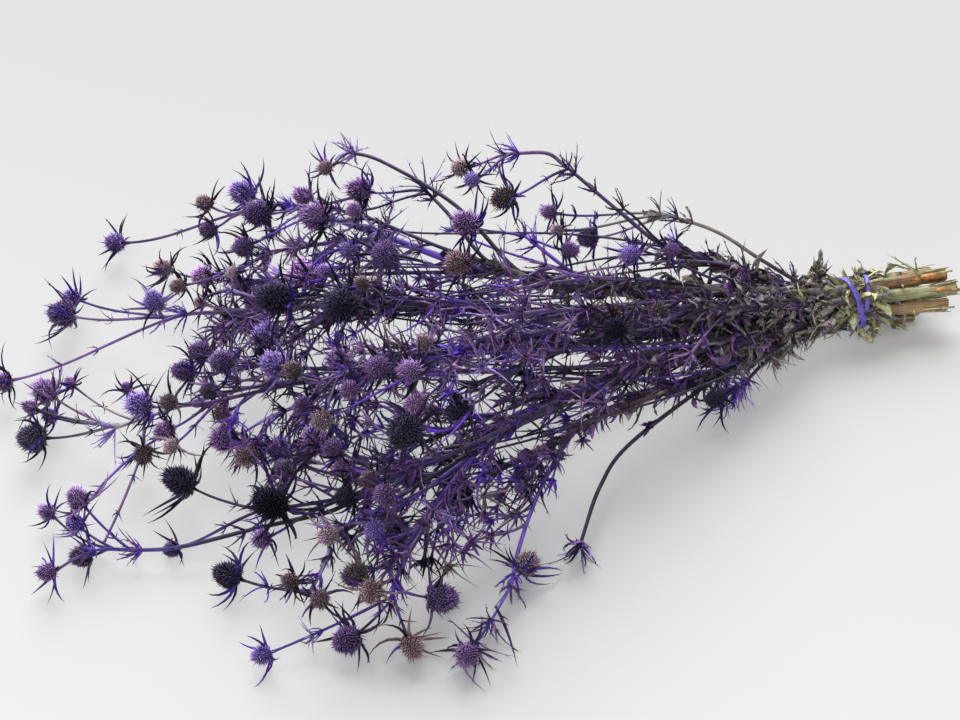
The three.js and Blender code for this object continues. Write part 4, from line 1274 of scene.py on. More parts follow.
def grow_strip(blades, line, radii, out, start, stop, half_wide, lift, tone, rng):
    """A strip of bark or bare wood that lies along a stem from one station to another."""
    stations = np.linspace(start, stop, STRIP_STATIONS)
    path = np.stack([np.interp(stations, np.arange(len(line)), line[:, k]) for k in range(3)], 1)
    raised = np.interp(stations, np.arange(len(line)), radii)[:, None] + lift
    blades.add(path + out * raised, STRIP_PROFILE * half_wide, STRIP_PROFILE * half_wide * 0.3,
               out, shaded(tone, STRIP_STATIONS, rng, foot=0, tip=0.3, low=0.7, high=1.2))


def grow_bark_strips(blades, plant, rng):
    """Frayed bark at a stem's cut end, and the bare wood where it has been peeled."""
    line, radii = trunk_line(plant)
    run = run_at(line, 0)
    step = np.linalg.norm(line[1] - line[0])
    sides = square_to(run)
    for _ in range(STRIPS):
        out = around(sides, rng.uniform(0, FULL_TURN))
        start = rng.uniform(-0.5, 0.6)
        ragged = line.copy()
        ragged[0] -= run * rng.uniform(0, 4)
        lift = np.linspace(rng.uniform(0, 1.2), -0.15, STRIP_STATIONS)[:, None]
        grow_strip(blades, ragged, radii, out, max(0, start), rng.uniform(8, 26) / step,
                   rng.uniform(0.8, 1.7), lift, pick(rng, STRIP_TONES), rng)
    if plant["stem"]["name"] in PEELED:
        half_wide, long = PEELED[plant["stem"]["name"]]
        facing = unit(EYE - BOX_FOOT - line[0])
        out = unit(facing - facing.dot(run) * run)
        bare = [linear(code) for code in PEEL_TONE]
        grow_strip(blades, line, radii, out, 0, long / step, half_wide, -0.1, bare, rng)


def grow_limb(pile, limb, rng, near, far):
    """A branch, from the tone it has near the trunk to the one at its end."""
    line, radii = limb.fine(BRANCH_FINE)
    tints = limb_tints(len(line), near, far, rng)
    tube(pile, line, radii * 0.82, 9, tints, ridges=5, ridge=0.05, twist=0.02)


def grow_stalk(pile, bend, radius, rng, near, far):
    """A thin stalk, thickening into the cup at its end."""
    reach = np.linalg.norm(bend[3] - bend[0])
    count = max(8, int(reach / 3.5))
    line = bezier(bend, count)
    t = np.linspace(0, 1, count + 1)
    radii = radius * (1.1 - 0.2 * t + 0.6 * np.clip((t - 0.93) / 0.07, 0, 1))
    radii = radii * wander(rng, count + 1, 5)**0.3
    tube(pile, line, radii, 6, limb_tints(count + 1, near, far, rng))
    return line


# ---------------------------------------------------------------- crumpled lower leaves

SCRAP_STATIONS = 7
SCRAP_ACROSS = np.array([-1, -0.4, 0.4, 1, 0.4, -0.4])
SCRAP_UNDER = np.array([0, 0, 0, 0, 1, 1])
SCRAP_THICK = 0.3
SCRAP_FLOOR = 2.5


class Scraps:
    """Broad crumpled leaves with jagged edges, gathered to be built in one go."""

    def __init__(self):
        self.rows = []

    def add(self, base, way, bend, up, long, half_wide, tone, rng):
        """A leaf from base along way, bending towards bend, with its face near up."""
        middle = base + way * long * 0.5 + rng.normal(0, 0.08, 3) * long
        tip = base + unit(way + bend) * long * rng.uniform(0.8, 1)
        path = curved(base - way * 0.8, middle, tip, SCRAP_STATIONS)
        keep_above(path, SCRAP_FLOOR)
        t = np.linspace(0, 1, SCRAP_STATIONS)
        jag = rng.uniform(0.5, 1.25, SCRAP_STATIONS)
        wide = half_wide * np.sin(math.pi * np.clip(t, 0.06, 1)**0.8)**0.8 * jag
        fold = rng.uniform(-0.9, 0.9)
        phase = rng.uniform(0, FULL_TURN, 2)
        # Painted shade at the foot, by the stem where the leaves crowd, and painted light towards
        # the tip.
        tints = shaded(tone, SCRAP_STATIONS, rng, foot=-0.5, tip=0.5, low=0.5, high=1.5)
        self.rows.append((path, wide, up, fold, phase, tints))

    def sweep_into(self, pile):
        if not self.rows:
            return
        paths, wide, up, fold, phase, tints = (np.array(column) for column in zip(*self.rows))
        runs, across, top = sections(paths, up[:, None])
        j = SCRAP_ACROSS[None, None]
        i = np.arange(SCRAP_STATIONS)[None, :, None]
        wide = wide[..., None]
        wave = (np.sin(phase[:, :1, None] + i * 1.6 + j * 2.2)
                + np.sin(phase[:, 1:, None] + i * 2.7 - j * 1.4)) * 0.34 * wide
        rise = fold[:, None, None] * np.abs(j)**1.5 * wide + wave - SCRAP_UNDER * SCRAP_THICK
        ahead = np.abs(j) * wide * 0.35
        rings = (paths[:, :, None] + across[:, :, None] * (j * wide)[..., None]
                 + top[:, :, None] * rise[..., None] + runs[:, :, None] * ahead[..., None])
        keep_above(rings, FLOOR + (1 - SCRAP_UNDER) * SCRAP_THICK)
        tips = paths[:, -1] + runs[:, -1] * 0.5
        keep_above(tips, FLOOR)
        close_rings(pile, rings[:, :-1], tips, tints)


# Where the leaves sit along a trunk, from the tie: nearest the cut ends first. Each row holds
# the along, how many leaves there are from there to the next row, and their tones.
MASS = (
    (-30, 7, {"moss": 5, "green": 4, "ash": 2}),
    (-18, 14, {"moss": 8, "green": 3, "ash": 2, "husk": 1}),
    (-4, 17, {"moss": 6, "green": 1, "ash": 3, "husk": 3, "soot": 1}),
    (10, 36, {"moss": 2, "husk": 5, "ash": 5, "soot": 2, "umber": 1}),
    (34, 54, {"husk": 3, "ash": 6, "soot": 4, "umber": 1, "plum": 1, "mauve": 0.5}),
    (75, 36, {"husk": 2, "ash": 4, "soot": 4, "plum": 3, "purple": 2}),
    (115, 26, {"ash": 3, "soot": 4, "plum": 4, "purple": 3, "dark": 1}),
    (160, 16, {"ash": 1, "soot": 3, "plum": 4, "purple": 4, "mauve": 1, "dark": 1}),
    (210, 8, {"soot": 1, "plum": 3, "purple": 3, "dyed": 1, "dark": 1}),
    (270, 0, {}),
)
UPPER_MASS = 110  # from here on the leaves cling to the side that is seen
CLINGING = 0.35  # the most that such a leaf leans out from the stem
HANGING = 0.95  # the same under a stem nearer the tie
LYING = 0.55  # and on its top and its sides
TURNED_BACK = 0.4  # the share of leaves below the tie that point to the cut ends
DEAD_LEAF_LONG = (10, 23)
DEAD_LEAF_HALF_WIDE = (1.0, 2.9)


def grow_mass(scraps, plant, seed):
    """The dead lower leaves on a trunk, thick round the tie and thinning out up the stem."""
    rng = np.random.default_rng(seed)
    line, radii = trunk_line(plant)
    runs = unit(np.gradient(line, axis=0))
    along = along_bundle(line)
    for (start, count, tones), (stop, _, _) in zip(MASS, MASS[1:]):
        if start >= UPPER_MASS and "slim" in plant["stem"]:
            continue
        for _ in range(count):
            i = int(np.abs(along - rng.uniform(start, stop)).argmin())
            run = runs[i]
            out = around(square_to(run), rng.uniform(0, FULL_TURN))
            if FAN_START < start < UPPER_MASS and out[2] > 0.3 and rng.random() < 0.5:
                out = -out
            if start >= UPPER_MASS and out @ EYE < 0:
                out = -out
            steep = HANGING if out[2] < -0.3 else LYING
            lean = rng.uniform(0.05, CLINGING if start >= UPPER_MASS else steep)
            way = tilted(run, out, lean)
            if start < 0 and rng.random() < TURNED_BACK:
                way = way - 1.4 * run * math.cos(lean)
            base = line[i] + out * radii[i] * 0.9
            bend = rng.normal(0, 0.35, 3) - UP * rng.uniform(0, 0.4)
            scraps.add(base, unit(way), bend, unit(out + rng.normal(0, 0.35, 3)),
                       rng.uniform(*DEAD_LEAF_LONG), rng.uniform(*DEAD_LEAF_HALF_WIDE),
                       pick(rng, tones), rng)


# ---------------------------------------------------------------- sprigs that fill the middle

# The layout's dense part: across, its upper edge down, its lower edge down.
THICKET = np.array([
    (215, 272, 390), (260, 266, 470), (300, 252, 500), (345, 240, 545), (390, 258, 575),
    (430, 276, 575), (480, 282, 545), (540, 292, 500), (590, 290, 445), (640, 292, 395),
    (700, 302, 372), (750, 314, 356), (790, 318, 348),
])
SPRIG_SEED = 77
SPRIG_GRID = 19  # steps of the layout from one sprig to the next across, and a little less down
TUFT_SHARE = 0.4
RIBBON_SHARE = 0.45
SPARSE_FROM = 560  # past this far across
SPARSE_SHARE = 0.25  # this share of the sprigs is left out
FIBRES = (545, 335)  # dead leaves past this far across and above this far down
LOW_FROM = 350  # past this far down
LOW_SHARE = 0.05  # this share is left out
# Gaps in the crowd: across, down, radius.
HOLES = np.array([(268, 405, 30), (330, 500, 28), (525, 440, 24), (640, 335, 14)])
SPRIG_REACH = (16, 60)
RUNNERS = 2  # to a stem
RUNNER_RADIUS = 1.05
RUNNER_RADIUS_TIP = 0.75


def grow_runners(plant, seed):
    """Long thin side stems that leave a trunk above the tie and fan out beside it."""
    rng = np.random.default_rng(seed)
    trunk = trunk_line(plant)[0]
    along = along_bundle(trunk)
    runners = []
    for _ in range(RUNNERS):
        start = int(np.abs(along - rng.uniform(45, 120)).argmin())
        stop = int(len(trunk) * rng.uniform(0.72, 0.97))
        line = trunk[start:stop]
        t = np.linspace(0, 1, len(line))[:, None]
        side, other = square_to(unit(line[-1] - line[0]))
        turn = rng.uniform(0, FULL_TURN)
        out = (side * math.cos(turn) + other * math.sin(turn) * 0.8) * rng.uniform(12, 30)
        sway = np.sin(t * rng.uniform(3, 7)) * rng.uniform(-3, 3) * side
        line = line + out * t**1.2 + sway * t
        keep_above(line, LIMB_FLOOR)
        runners.append(line)
    return runners


def gathered(rows, part):
    """The points of many lines, with their runs and stems; each row is a stem and a line."""
    points = np.concatenate([line[part] for _, line in rows])
    runs = np.concatenate([unit(np.diff(line, axis=0)) for _, line in rows])
    stems = np.concatenate([[index] * (len(line) - 1) for index, line in rows])
    return points, runs, stems


class Skeleton:
    """Every limb's points, with the stem that owns each, for sprigs to root on."""

    def __init__(self):
        rows = [(plant["index"], limb.fine(ROOT_FINE)[0])
                for plant in plants for limb in plant["limbs"]]
        rows += [(plant["index"], line) for plant in plants for line in plant["runners"]]
        self.points, self.runs, self.stems = gathered(rows, slice(None, -1))

    def root_for(self, end, wanted):
        """The limb point that suits a sprig's end best, or None."""
        span = end - self.points
        reach = np.linalg.norm(span, axis=1)
        forward = (span * self.runs).sum(1) / np.maximum(reach, 1e-6)
        fits = (reach > SPRIG_REACH[0]) & (reach < SPRIG_REACH[1]) & (forward > 0.55)
        if not fits.any():
            return None
        cost = np.where(fits, abs(reach - wanted) - 12 * forward, math.inf)
        return int(cost.argmin())


THREADS = 4  # to a stem
THREAD_RADIUS = 0.8
# How a side stem is drawn: its radius at either end and its sides, and its end leaves.
RUNNER_LOOK = {
    "radii": (RUNNER_RADIUS, RUNNER_RADIUS_TIP), "sides": 7,
    "leaves": 8, "length": 15, "half_wide": 0.8, "spines": 3,
}
THREAD_LOOK = {
    "radii": (THREAD_RADIUS, THREAD_RADIUS * 0.8), "sides": 6,
    "leaves": 6, "length": 11, "half_wide": 0.7, "spines": 1,
}
THREAD_TONES = {"ink": 5, "dark": 4, "dyed": 1, "purple": 2}
THREAD_ENDS = (225, 400)  # across, in the layout
THREAD_TRIES = 40


def grow_threads(plant, skeleton, flat, seed):
    """Long thin stalks that run out from a trunk's middle to the crowd of heads."""
    rng = np.random.default_rng(seed)
    trunk = trunk_line(plant)[0]
    ends = np.flatnonzero((flat[:, 0] > THREAD_ENDS[0]) & (flat[:, 0] < THREAD_ENDS[1]))
    lines = []
    for _ in range(THREADS):
        i = int(len(trunk) * rng.uniform(0.45, 0.75))
        run = run_at(trunk, i)
        tries = skeleton.points[rng.choice(ends, THREAD_TRIES)]
        spans = tries - trunk[i]
        reach = np.linalg.norm(spans, axis=1)
        fit = (spans @ run) / reach - np.abs(reach - 120) / 300
        k = int(fit.argmax())
        end = tries[k] + rng.normal(0, 4, 3)
        end[2] = max(end[2], LIMB_FLOOR)
        sway = rng.normal(0, 0.06, 3) * reach[k]
        bend = [trunk[i], trunk[i] + run * reach[k] * 0.35 + sway,
                end - unit(spans[k]) * reach[k] * 0.3 + sway * 0.5, end]
        line = bezier(bend, int(reach[k] / 6))
        keep_above(line, LIMB_FLOOR)
        lines.append(line)
    return lines


def scatter_sprigs():
    """Ends of sprigs over the dense part, each with the stem, root and run that it grows from."""
    rng = np.random.default_rng(SPRIG_SEED)
    skeleton = Skeleton()
    flat = layout_of(skeleton.points)
    sprigs = {plant["index"]: [] for plant in plants}
    for across in np.arange(THICKET[0, 0], THICKET[-1, 0], SPRIG_GRID):
        top = np.interp(across, THICKET[:, 0], THICKET[:, 1])
        foot = np.interp(across, THICKET[:, 0], THICKET[:, 2])
        for down in np.arange(top, foot, SPRIG_GRID * 0.8):
            spot = np.array([across, down]) + rng.uniform(-0.6, 0.6, 2) * SPRIG_GRID
            near = np.linalg.norm(flat - spot, axis=1).argsort()[:6]
            base = skeleton.points[rng.choice(near), 2]
            if across > SPARSE_FROM and rng.random() < SPARSE_SHARE:
                continue
            holes = np.linalg.norm(HOLES[:, :2] - spot, axis=1) < HOLES[:, 2]
            if holes.any() or (down > LOW_FROM and rng.random() < LOW_SHARE):
                continue
            above = rng.uniform(-16, 18)
            height = max(6, base + above)
            end = place(spot[0], spot[1], height)
            root = skeleton.root_for(end, rng.uniform(22, 45))
            if root is None:
                continue
            # Painted light and shade: sprigs that sit higher get lighter tones, lower ones darker.
            tones = PAINTED_LIT_TONES if above > -4 else PAINTED_SHADE_TONES
            if across > FIBRES[0] and down < FIBRES[1]:
                tones = FIBRE_TONES
            sprigs[skeleton.stems[root]].append(
                (skeleton.points[root], skeleton.runs[root], end, tones))
    return sprigs


# Leafy joints: across, down, count of leaves, their length, tone.
KNOTS = (
    (348, 151, 6, 12, "pale"), (425, 190, 10, 23, "violet"), (395, 205, 6, 14, "violet"),
    (372, 227, 8, 16, "purple"), (270, 250, 8, 16, "dyed"), (505, 155, 7, 15, "purple"),
    (500, 168, 5, 10, "pale"), (568, 168, 6, 13, "dark"), (597, 198, 4, 11, "dark"),
    (530, 232, 8, 15, "purple"), (577, 208, 4, 10, "dark"), (660, 213, 7, 17, "ash"),
    (690, 228, 5, 14, "soot"), (620, 250, 9, 17, "dyed"), (553, 445, 7, 17, "soot"),
    (650, 405, 6, 18, "soot"), (578, 548, 11, 19, "dark"), (512, 587, 8, 15, "plum"),
    (500, 624, 9, 19, "plum"), (482, 645, 7, 17, "mauve"), (489, 655, 5, 19, "purple"),
    (540, 490, 5, 12, "dark"), (735, 392, 11, 17, "dyed"), (700, 345, 9, 15, "violet"),
    (680, 350, 9, 14, "mauve"), (740, 330, 6, 18, "violet"), (610, 405, 6, 12, "dyed"),
    (163, 318, 7, 15, "dyed"), (60, 358, 5, 11, "pale"), (5, 380, 7, 13, "dark"),
    (115, 428, 11, 20, "pale"), (150, 416, 6, 12, "ash"), (95, 550, 7, 12, "dyed"),
    (143, 550, 6, 9, "dyed"), (292, 607, 5, 11, "purple"), (318, 645, 6, 10, "pale"),
    (343, 538, 6, 11, "pale"), (310, 492, 7, 14, "purple"), (390, 603, 8, 13, "purple"),
    (470, 455, 6, 14, "dark"), (480, 340, 9, 16, "violet"), (500, 265, 7, 13, "soot"),
    (455, 372, 7, 15, "purple"), (205, 404, 7, 13, "purple"), (330, 555, 6, 12, "dark"),
    (310, 592, 6, 11, "plum"), (745, 388, 10, 19, "violet"), (728, 396, 8, 17, "purple"),
    (650, 350, 8, 15, "violet"), (375, 230, 9, 27, "violet"), (388, 240, 7, 24, "purple"),
    (268, 250, 8, 14, "pale"), (505, 495, 8, 17, "dark"), (385, 545, 8, 17, "dark"),
    (370, 560, 7, 15, "plum"), (400, 560, 8, 16, "purple"), (350, 530, 8, 16, "dark"),
    (270, 545, 6, 14, "dark"), (265, 600, 6, 14, "dyed"), (450, 365, 9, 16, "violet"),
    (430, 350, 9, 15, "mauve"), (470, 350, 8, 15, "violet"), (490, 330, 9, 15, "mauve"),
    (510, 345, 8, 15, "purple"), (530, 325, 8, 15, "violet"), (270, 445, 9, 16, "indigo"),
    (255, 440, 8, 14, "dyed"), (290, 455, 8, 15, "dark"), (300, 470, 7, 15, "dark"),
    (245, 470, 7, 14, "dark"), (228, 428, 7, 14, "dark"), (340, 215, 8, 16, "purple"),
    (352, 230, 9, 17, "mauve"), (328, 225, 8, 15, "dark"), (308, 218, 7, 15, "dyed"),
    (285, 213, 7, 14, "dark"), (275, 195, 7, 15, "indigo"), (250, 540, 6, 14, "dark"),
    (285, 580, 6, 14, "ink"),
)
# Crowds of small leaves: across, down, length, tone.
TUFTS = (
    (668, 345, 15, "mauve"), (690, 352, 15, "purple"), (705, 366, 15, "violet"),
    (722, 362, 15, "mauve"), (655, 362, 13, "purple"), (680, 374, 14, "dyed"),
    (750, 390, 13, "violet"), (752, 378, 12, "mauve"), (735, 345, 13, "purple"),
    (450, 372, 15, "violet"), (470, 345, 15, "mauve"), (500, 350, 14, "violet"),
    (430, 345, 14, "mauve"), (520, 315, 14, "purple"), (590, 300, 14, "purple"),
    (620, 262, 14, "dyed"), (575, 325, 14, "violet"), (380, 285, 14, "purple"),
    (330, 200, 12, "purple"), (290, 205, 12, "dyed"), (270, 226, 11, "purple"),
    (335, 232, 12, "violet"), (300, 250, 12, "mauve"), (412, 255, 13, "plum"),
    (752, 360, 17, "soot"), (772, 352, 18, "husk"), (792, 345, 18, "soot"), (810, 340, 18, "ash"),
    (826, 335, 18, "soot"), (842, 330, 17, "husk"), (858, 330, 15, "ash"), (870, 328, 14, "moss"),
    (350, 245, 15, "violet"), (372, 262, 15, "purple"), (360, 225, 14, "mauve"),
)
# Heads deep in the crowd: across, down, size, tone.
BURIED = (
    (665, 303, 22, "umber"), (698, 296, 22, "black"), (652, 362, 19, "slate"),
    (684, 375, 14, "dusk"), (605, 330, 24, "jet"), (262, 466, 18, "brown"), (300, 458, 15, "plum"),
)
# Long side stalks, from across, down to across, down, and their tone.
LONG_STALKS = (
    (150, 461, 86, 492, "dyed"), (153, 464, 102, 545, "purple"), (327, 550, 306, 602, "pale"),
    (170, 432, 143, 455, "dyed"), (300, 455, 250, 500, "dark"), (392, 585, 372, 540, "dyed"),
    (368, 196, 265, 212, "purple"), (330, 210, 262, 228, "dyed"),
)
STUB = (4, "stem_1")  # the limb that ends in a funnel of torn leaves, and its stem
# Torn dry leaves: across, down, count, length, half width, tone.
TORN = (
    (822, 279, 14, 24, 2.3, "husk"), (822, 284, 5, 13, 1.6, "moss"),
    (600, 430, 4, 17, 1.9, "soot"), (640, 414, 5, 17, 1.7, "ink"), (560, 452, 4, 16, 1.9, "soot"),
    (655, 410, 4, 14, 1.5, "dark"), (585, 292, 5, 15, 1.6, "soot"), (610, 300, 5, 16, 1.8, "soot"),
    (635, 290, 6, 16, 1.7, "umber"), (655, 300, 5, 15, 1.8, "soot"),
    (675, 288, 6, 16, 1.7, "soot"), (695, 300, 6, 17, 1.8, "umber"),
    (715, 290, 6, 16, 1.7, "soot"), (735, 300, 6, 16, 1.9, "soot"), (560, 300, 4, 14, 1.5, "soot"),
    (665, 315, 5, 15, 1.6, "plum"), (700, 315, 5, 16, 1.7, "soot"), (640, 312, 5, 15, 1.6, "dark"),
    (600, 315, 4, 14, 1.5, "dark"), (720, 318, 5, 16, 1.8, "umber"),
    (750, 310, 5, 16, 1.8, "soot"), (660, 215, 5, 13, 2.0, "ash"), (690, 228, 3, 11, 1.8, "soot"),
    (500, 268, 4, 12, 2.2, "soot"), (480, 262, 3, 12, 2.0, "ash"),
)
# Long leaves: from across, down to across, down; their rise, half width and tone.
LONG_LEAVES = (
    (707, 318, 713, 362, 8, 1.3, "dyed"), (745, 338, 752, 372, 4, 1.1, "dyed"),
    (405, 388, 322, 425, 6, 1.2, "dyed"), (460, 348, 425, 360, 6, 1.2, "dyed"),
    (515, 622, 518, 668, 2, 1.4, "dark"), (487, 662, 482, 694, 0, 1.2, "plum"),
    (560, 300, 500, 330, 8, 1.1, "dyed"), (430, 300, 372, 345, 8, 1.1, "dyed"),
    (380, 350, 330, 380, 6, 1.2, "dyed"), (600, 340, 640, 300, 6, 1.0, "ash"),
    (345, 262, 300, 290, 6, 1.2, "dyed"), (480, 420, 430, 455, 6, 1.1, "dyed"),
)
KNOT_REACH = 26  # steps of the layout
FLOWER_FINE = 20  # steps of a flower's stalk
LEAFY_SPRIG = 24  # mm; a longer one has a second star of leaves
HALF_WAY = (0.35, 0.65)  # of a stalk, where such a star sits


def stalk_points():
    """Points on every stalk: their place, run, stem, and where they lie in the layout."""
    rows = []
    for plant in plants:
        lines = [limb.fine(ROOT_FINE)[0] for limb in plant["limbs"]]
        lines += [bezier(flower["bend"], FLOWER_FINE) for flower in plant["flowers"]]
        rows += [(plant["index"], line) for line in lines]
    points, runs, stems = gathered(rows, slice(1, None))
    return points, runs, stems, layout_of(points)


def nearest_stalk(across, down):
    """The index of the stalk point nearest a place in the layout, or None."""
    away = np.linalg.norm(stalk_layout - (across, down), axis=1)
    i = int((away - stalk_places[:, 2] * 0.12).argmin())
    return i if away[i] < KNOT_REACH else None


def rooted(table):
    """Each row of a table with the stalk point nearest its place in the layout, by stem."""
    found = {plant["index"]: [] for plant in plants}
    for across, down, *rest in table:
        i = nearest_stalk(across, down)
        if i is not None:
            found[stalk_stems[i]].append((stalk_places[i], stalk_runs[i], *rest))
    return found


def grow_buried(heads, blades, point, run, size, tone, rng, seed):
    """A head that sits on a limb, deep in the crowd."""
    axis = unit(unit(EYE - point) + run * 0.5 + rng.normal(0, 0.25, 3))
    flower = {"axis": axis, "foot": point, "size": size * STEP, "tone": tone, "bracts": []}
    grow_head(heads, flower, seed)
    grow_flower_bracts(blades, flower, seed + 1)


def grow_long_stalk(stalks, blades, point, across, down, tone, rng):
    """A thin stalk from one place on the plant to another."""
    i = nearest_stalk(across, down)
    end = stalk_places[i]
    span = end - point
    bow = np.cross(span, UP) * rng.uniform(-0.12, 0.12)
    bend = [point, point + span * 0.35 + bow, point + span * 0.7 + bow, end]
    line = grow_stalk(stalks, bend, STALK_RADIUS, rng, tone, tone)
    for share in (0.3, 0.7):
        k = int(share * (len(line) - 1))
        grow_star(blades, line[k], run_at(line, k), 4, 6, tone, rng, thick=0.8, half_wide=0.5,
                  spines=1)


def grow_torn(scraps, point, run, count, length, half_wide, tone, rng):
    """A funnel of torn dry leaves at a joint."""
    sides = square_to(run)
    for k in range(count):
        out = around(sides, (k + rng.uniform(-0.3, 0.3)) * FULL_TURN / count)
        way = tilted(run, out, rng.uniform(0.03, 0.25))
        scraps.add(point + out * 1.2, way, out * rng.uniform(0, 0.35), out,
                   length * rng.uniform(0.7, 1.1), half_wide, tone, rng)


def grow_long_leaf(blades, point, run, across, down, rise, half_wide, tone, rng):
    """A long bowed leaf from a stalk to a place in the layout."""
    end = place(across, down, max(1, point[2] + rise))
    middle = (point + end) / 2 + UP * 3
    grow_blade(blades, (point, middle, end), unit(UP - run * 0.3), tone, rng, half_wide, 3,
               reach=0.15)


def grow_sprig(stalks, blades, sprig, rng):
    """A thin shoot with a star of leaves at its end, another part way, and long curled leaves."""
    root, run, end, tones = sprig
    span = end - root
    reach = np.linalg.norm(span)
    leave = unit(run + span / reach)
    bend = [root, root + leave * reach * 0.35, end - unit(span + UP * rng.uniform(-8, 8))
            * reach * 0.3, end]
    tone = pick(rng, tones)
    line = grow_stalk(stalks, bend, rng.uniform(0.6, 0.9), rng, pick(rng, STALK_TONES), tone)
    last = run_at(line, -2)
    if rng.random() < TUFT_SHARE:
        grow_brush(blades, line[-1], last, rng.integers(14, 22), rng.uniform(6, 10), tone, rng)
    grow_star(blades, line[-1], last, rng.integers(6, 10), rng.uniform(11, 18), tone, rng,
              thick=0.6, half_wide=rng.uniform(0.7, 1.15), spines=1)
    if reach > LEAFY_SPRIG:
        i = int(len(line) * rng.uniform(*HALF_WAY))
        grow_star(blades, line[i], run_at(line, i), 5, rng.uniform(8, 14), pick(rng, tones),
                  rng, thick=0.6, half_wide=rng.uniform(0.6, 1.0), spines=1)
    if rng.random() < RIBBON_SHARE:
        grow_ribbon(blades, line[int(len(line) * 0.6)], last, pick(rng, tones), rng)


def grow_ribbon(blades, root, run, tone, rng):
    """A long curled leaf."""
    turn, lean = rng.uniform(0, FULL_TURN), rng.uniform(0.3, 1.0)
    curl = rng.uniform(0.5, 1.5) * rng.choice([-1, 1])
    points = spine(root, run, turn, lean, curl, rng.uniform(16, 28))
    points = np.array(points)
    keep_above(points, THIN_FLOOR)
    grow_blade(blades, points, unit(UP + rng.normal(0, 0.5, 3)), tone, rng,
               rng.uniform(0.8, 1.3), 2, reach=0.12, stout=0.4, tips=(0, 0.4))


# ---------------------------------------------------------------- materials

class Shading:
    """A material, and the kinds of node that the ones below are made of."""

    def __init__(self, name):
        self.material = bpy.data.materials.new(name)
        self.material.use_nodes = True
        self.tree = self.material.node_tree
        self.shader = self.tree.nodes["Principled BSDF"]

    def set(self, node, inputs):
        """inputs gives an input a plain value, or the output that it is linked to."""
        for key, value in inputs.items():
            if isinstance(value, bpy.types.NodeSocket):
                self.tree.links.new(value, node.inputs[key])
            else:
                node.inputs[key].default_value = value

    def node(self, kind, output, inputs, **settings):
        """The named output of a new node."""
        node = self.tree.nodes.new(kind)
        for key, value in settings.items():
            setattr(node, key, value)
        self.set(node, inputs)
        return node.outputs[output]

    def attribute(self, name, output):
        """What a mesh says at each of its points."""
        return self.node("ShaderNodeAttribute", output, {}, attribute_name=name)

    def place(self):
        """Where each point of a piece lies, in metres."""
        return self.node("ShaderNodeTexCoord", "Object", {})

    def noise(self, vector, scale, detail):
        inputs = {"Vector": vector, "Scale": scale, "Detail": detail}
        return self.node("ShaderNodeTexNoise", "Fac", inputs)

    def ranged(self, value, start, stop, low, high, **settings):
        """A value that goes from low to high as another goes from start to stop."""
        inputs = {"Value": value, "From Min": start, "From Max": stop, "To Min": low,
                  "To Max": high}
        return self.node("ShaderNodeMapRange", "Result", inputs, **settings)

    def vector(self, operation, output, inputs):
        return self.node("ShaderNodeVectorMath", output, inputs, operation=operation)

    def joined(self, operation, first, second):
        return self.node("ShaderNodeMath", "Value", {0: first, 1: second}, operation=operation)


STALK_STRETCH = (1.0, 1.0, 0.07)  # draws the noise out into streaks along a stalk
NOISE_SPREAD = (0.3, 0.7)  # most of a noise's values lie between these


def dyed_material(name, felt, seen, bump, roughness, specular, streaked=False):
    """A dyed skin: its own tint, which noises make lighter and darker.

    felt is a noise that shows in the surface too, and seen one that is only in the colour, or
    None: their scale and detail, and how dark and how light they make the tint. bump is the
    strength and depth of the felt one.
    """
    shade = Shading(name)
    anywhere = shade.place()
    tint = shade.attribute("tint", "Color")
    across = anywhere
    if streaked:
        flow = shade.attribute("flow", "Vector")
        across = shade.vector("MULTIPLY", "Vector", {0: flow, 1: STALK_STRETCH})
    heights = []
    for noise, vector in ((felt, across), (seen, anywhere)):
        if noise:
            scale, detail, low, high = noise
            heights.append(shade.noise(vector, scale, detail))
            light = shade.ranged(heights[-1], *NOISE_SPREAD, low, high)
            tint = shade.vector("SCALE", "Vector", {0: tint, "Scale": light})
    strength, distance = bump
    relief = {"Height": heights[0], "Strength": strength, "Distance": distance}
    shade.set(shade.shader, {
        "Base Color": tint,
        "Roughness": roughness,
        "Specular IOR Level": specular,
        "Normal": shade.node("ShaderNodeBump", "Normal", relief),
    })
    return shade.material


STALK_MATERIAL = dyed_material(
    "dyed_stalk", felt=(1.6, 3, 0.5, 1.4), seen=(160, 4, 0.7, 1.25), bump=(0.6, 0.0004),
    roughness=0.5, specular=0.5, streaked=True)
HEAD_MATERIAL = dyed_material(
    "dyed_florets", felt=(700, 2, 0.75, 1.3), seen=(120, 3, 0.8, 1.25), bump=(0.4, 0.0003),
    roughness=0.8, specular=0.2)
LEAF_MATERIAL = dyed_material(
    "dried_leaf", felt=(300, 5, 0.5, 1.55), seen=(1100, 2, 0.85, 1.15), bump=(0.8, 0.0008),
    roughness=0.7, specular=0.3)
BAND_MATERIAL = dyed_material(
    "elastic_band", felt=(300, 3, 0.85, 1.15), seen=None, bump=(0.3, 0.0003),
    roughness=0.45, specular=0.5)
KINDS = {  # the material and the slot of each kind of piece
    "stalks": (STALK_MATERIAL, "dyed_stem"),
    "heads": (HEAD_MATERIAL, "flower_head"),
    "leaves": (LEAF_MATERIAL, "dried_leaf"),
    "strands": (BAND_MATERIAL, "elastic"),
}


def finish_piece(pile, body, kind, *nodes):
    """A pile made into the piece of a kind that stands for the nodes."""
    material, slot = KINDS[kind]
    piece = pile.build(body + "_" + kind, material)
    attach(piece, "root")
    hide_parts(*nodes)


# ---------------------------------------------------------------- building the stems

STEM_SEED = 5000
STEM_SEED_STEP = 400
RUNNER_SEED = 9000
THREAD_SEED = 7000
# What is added to a stem's seed for each kind of thing on it.
TRUNK_SEED = 1
HEAD_SEED = 10
BRACT_SEED = 100
WHORL_SEED = 200
MASS_SEED = 350
BURIED_SEED = 380
SEEDS_TO_A_LIMB = 8
LEAFY_STALK = 32  # mm; a longer one has a small star of leaves half way
INK_STALKED = ("jet", "black", "slate")  # heads of these tones have stalks as dark


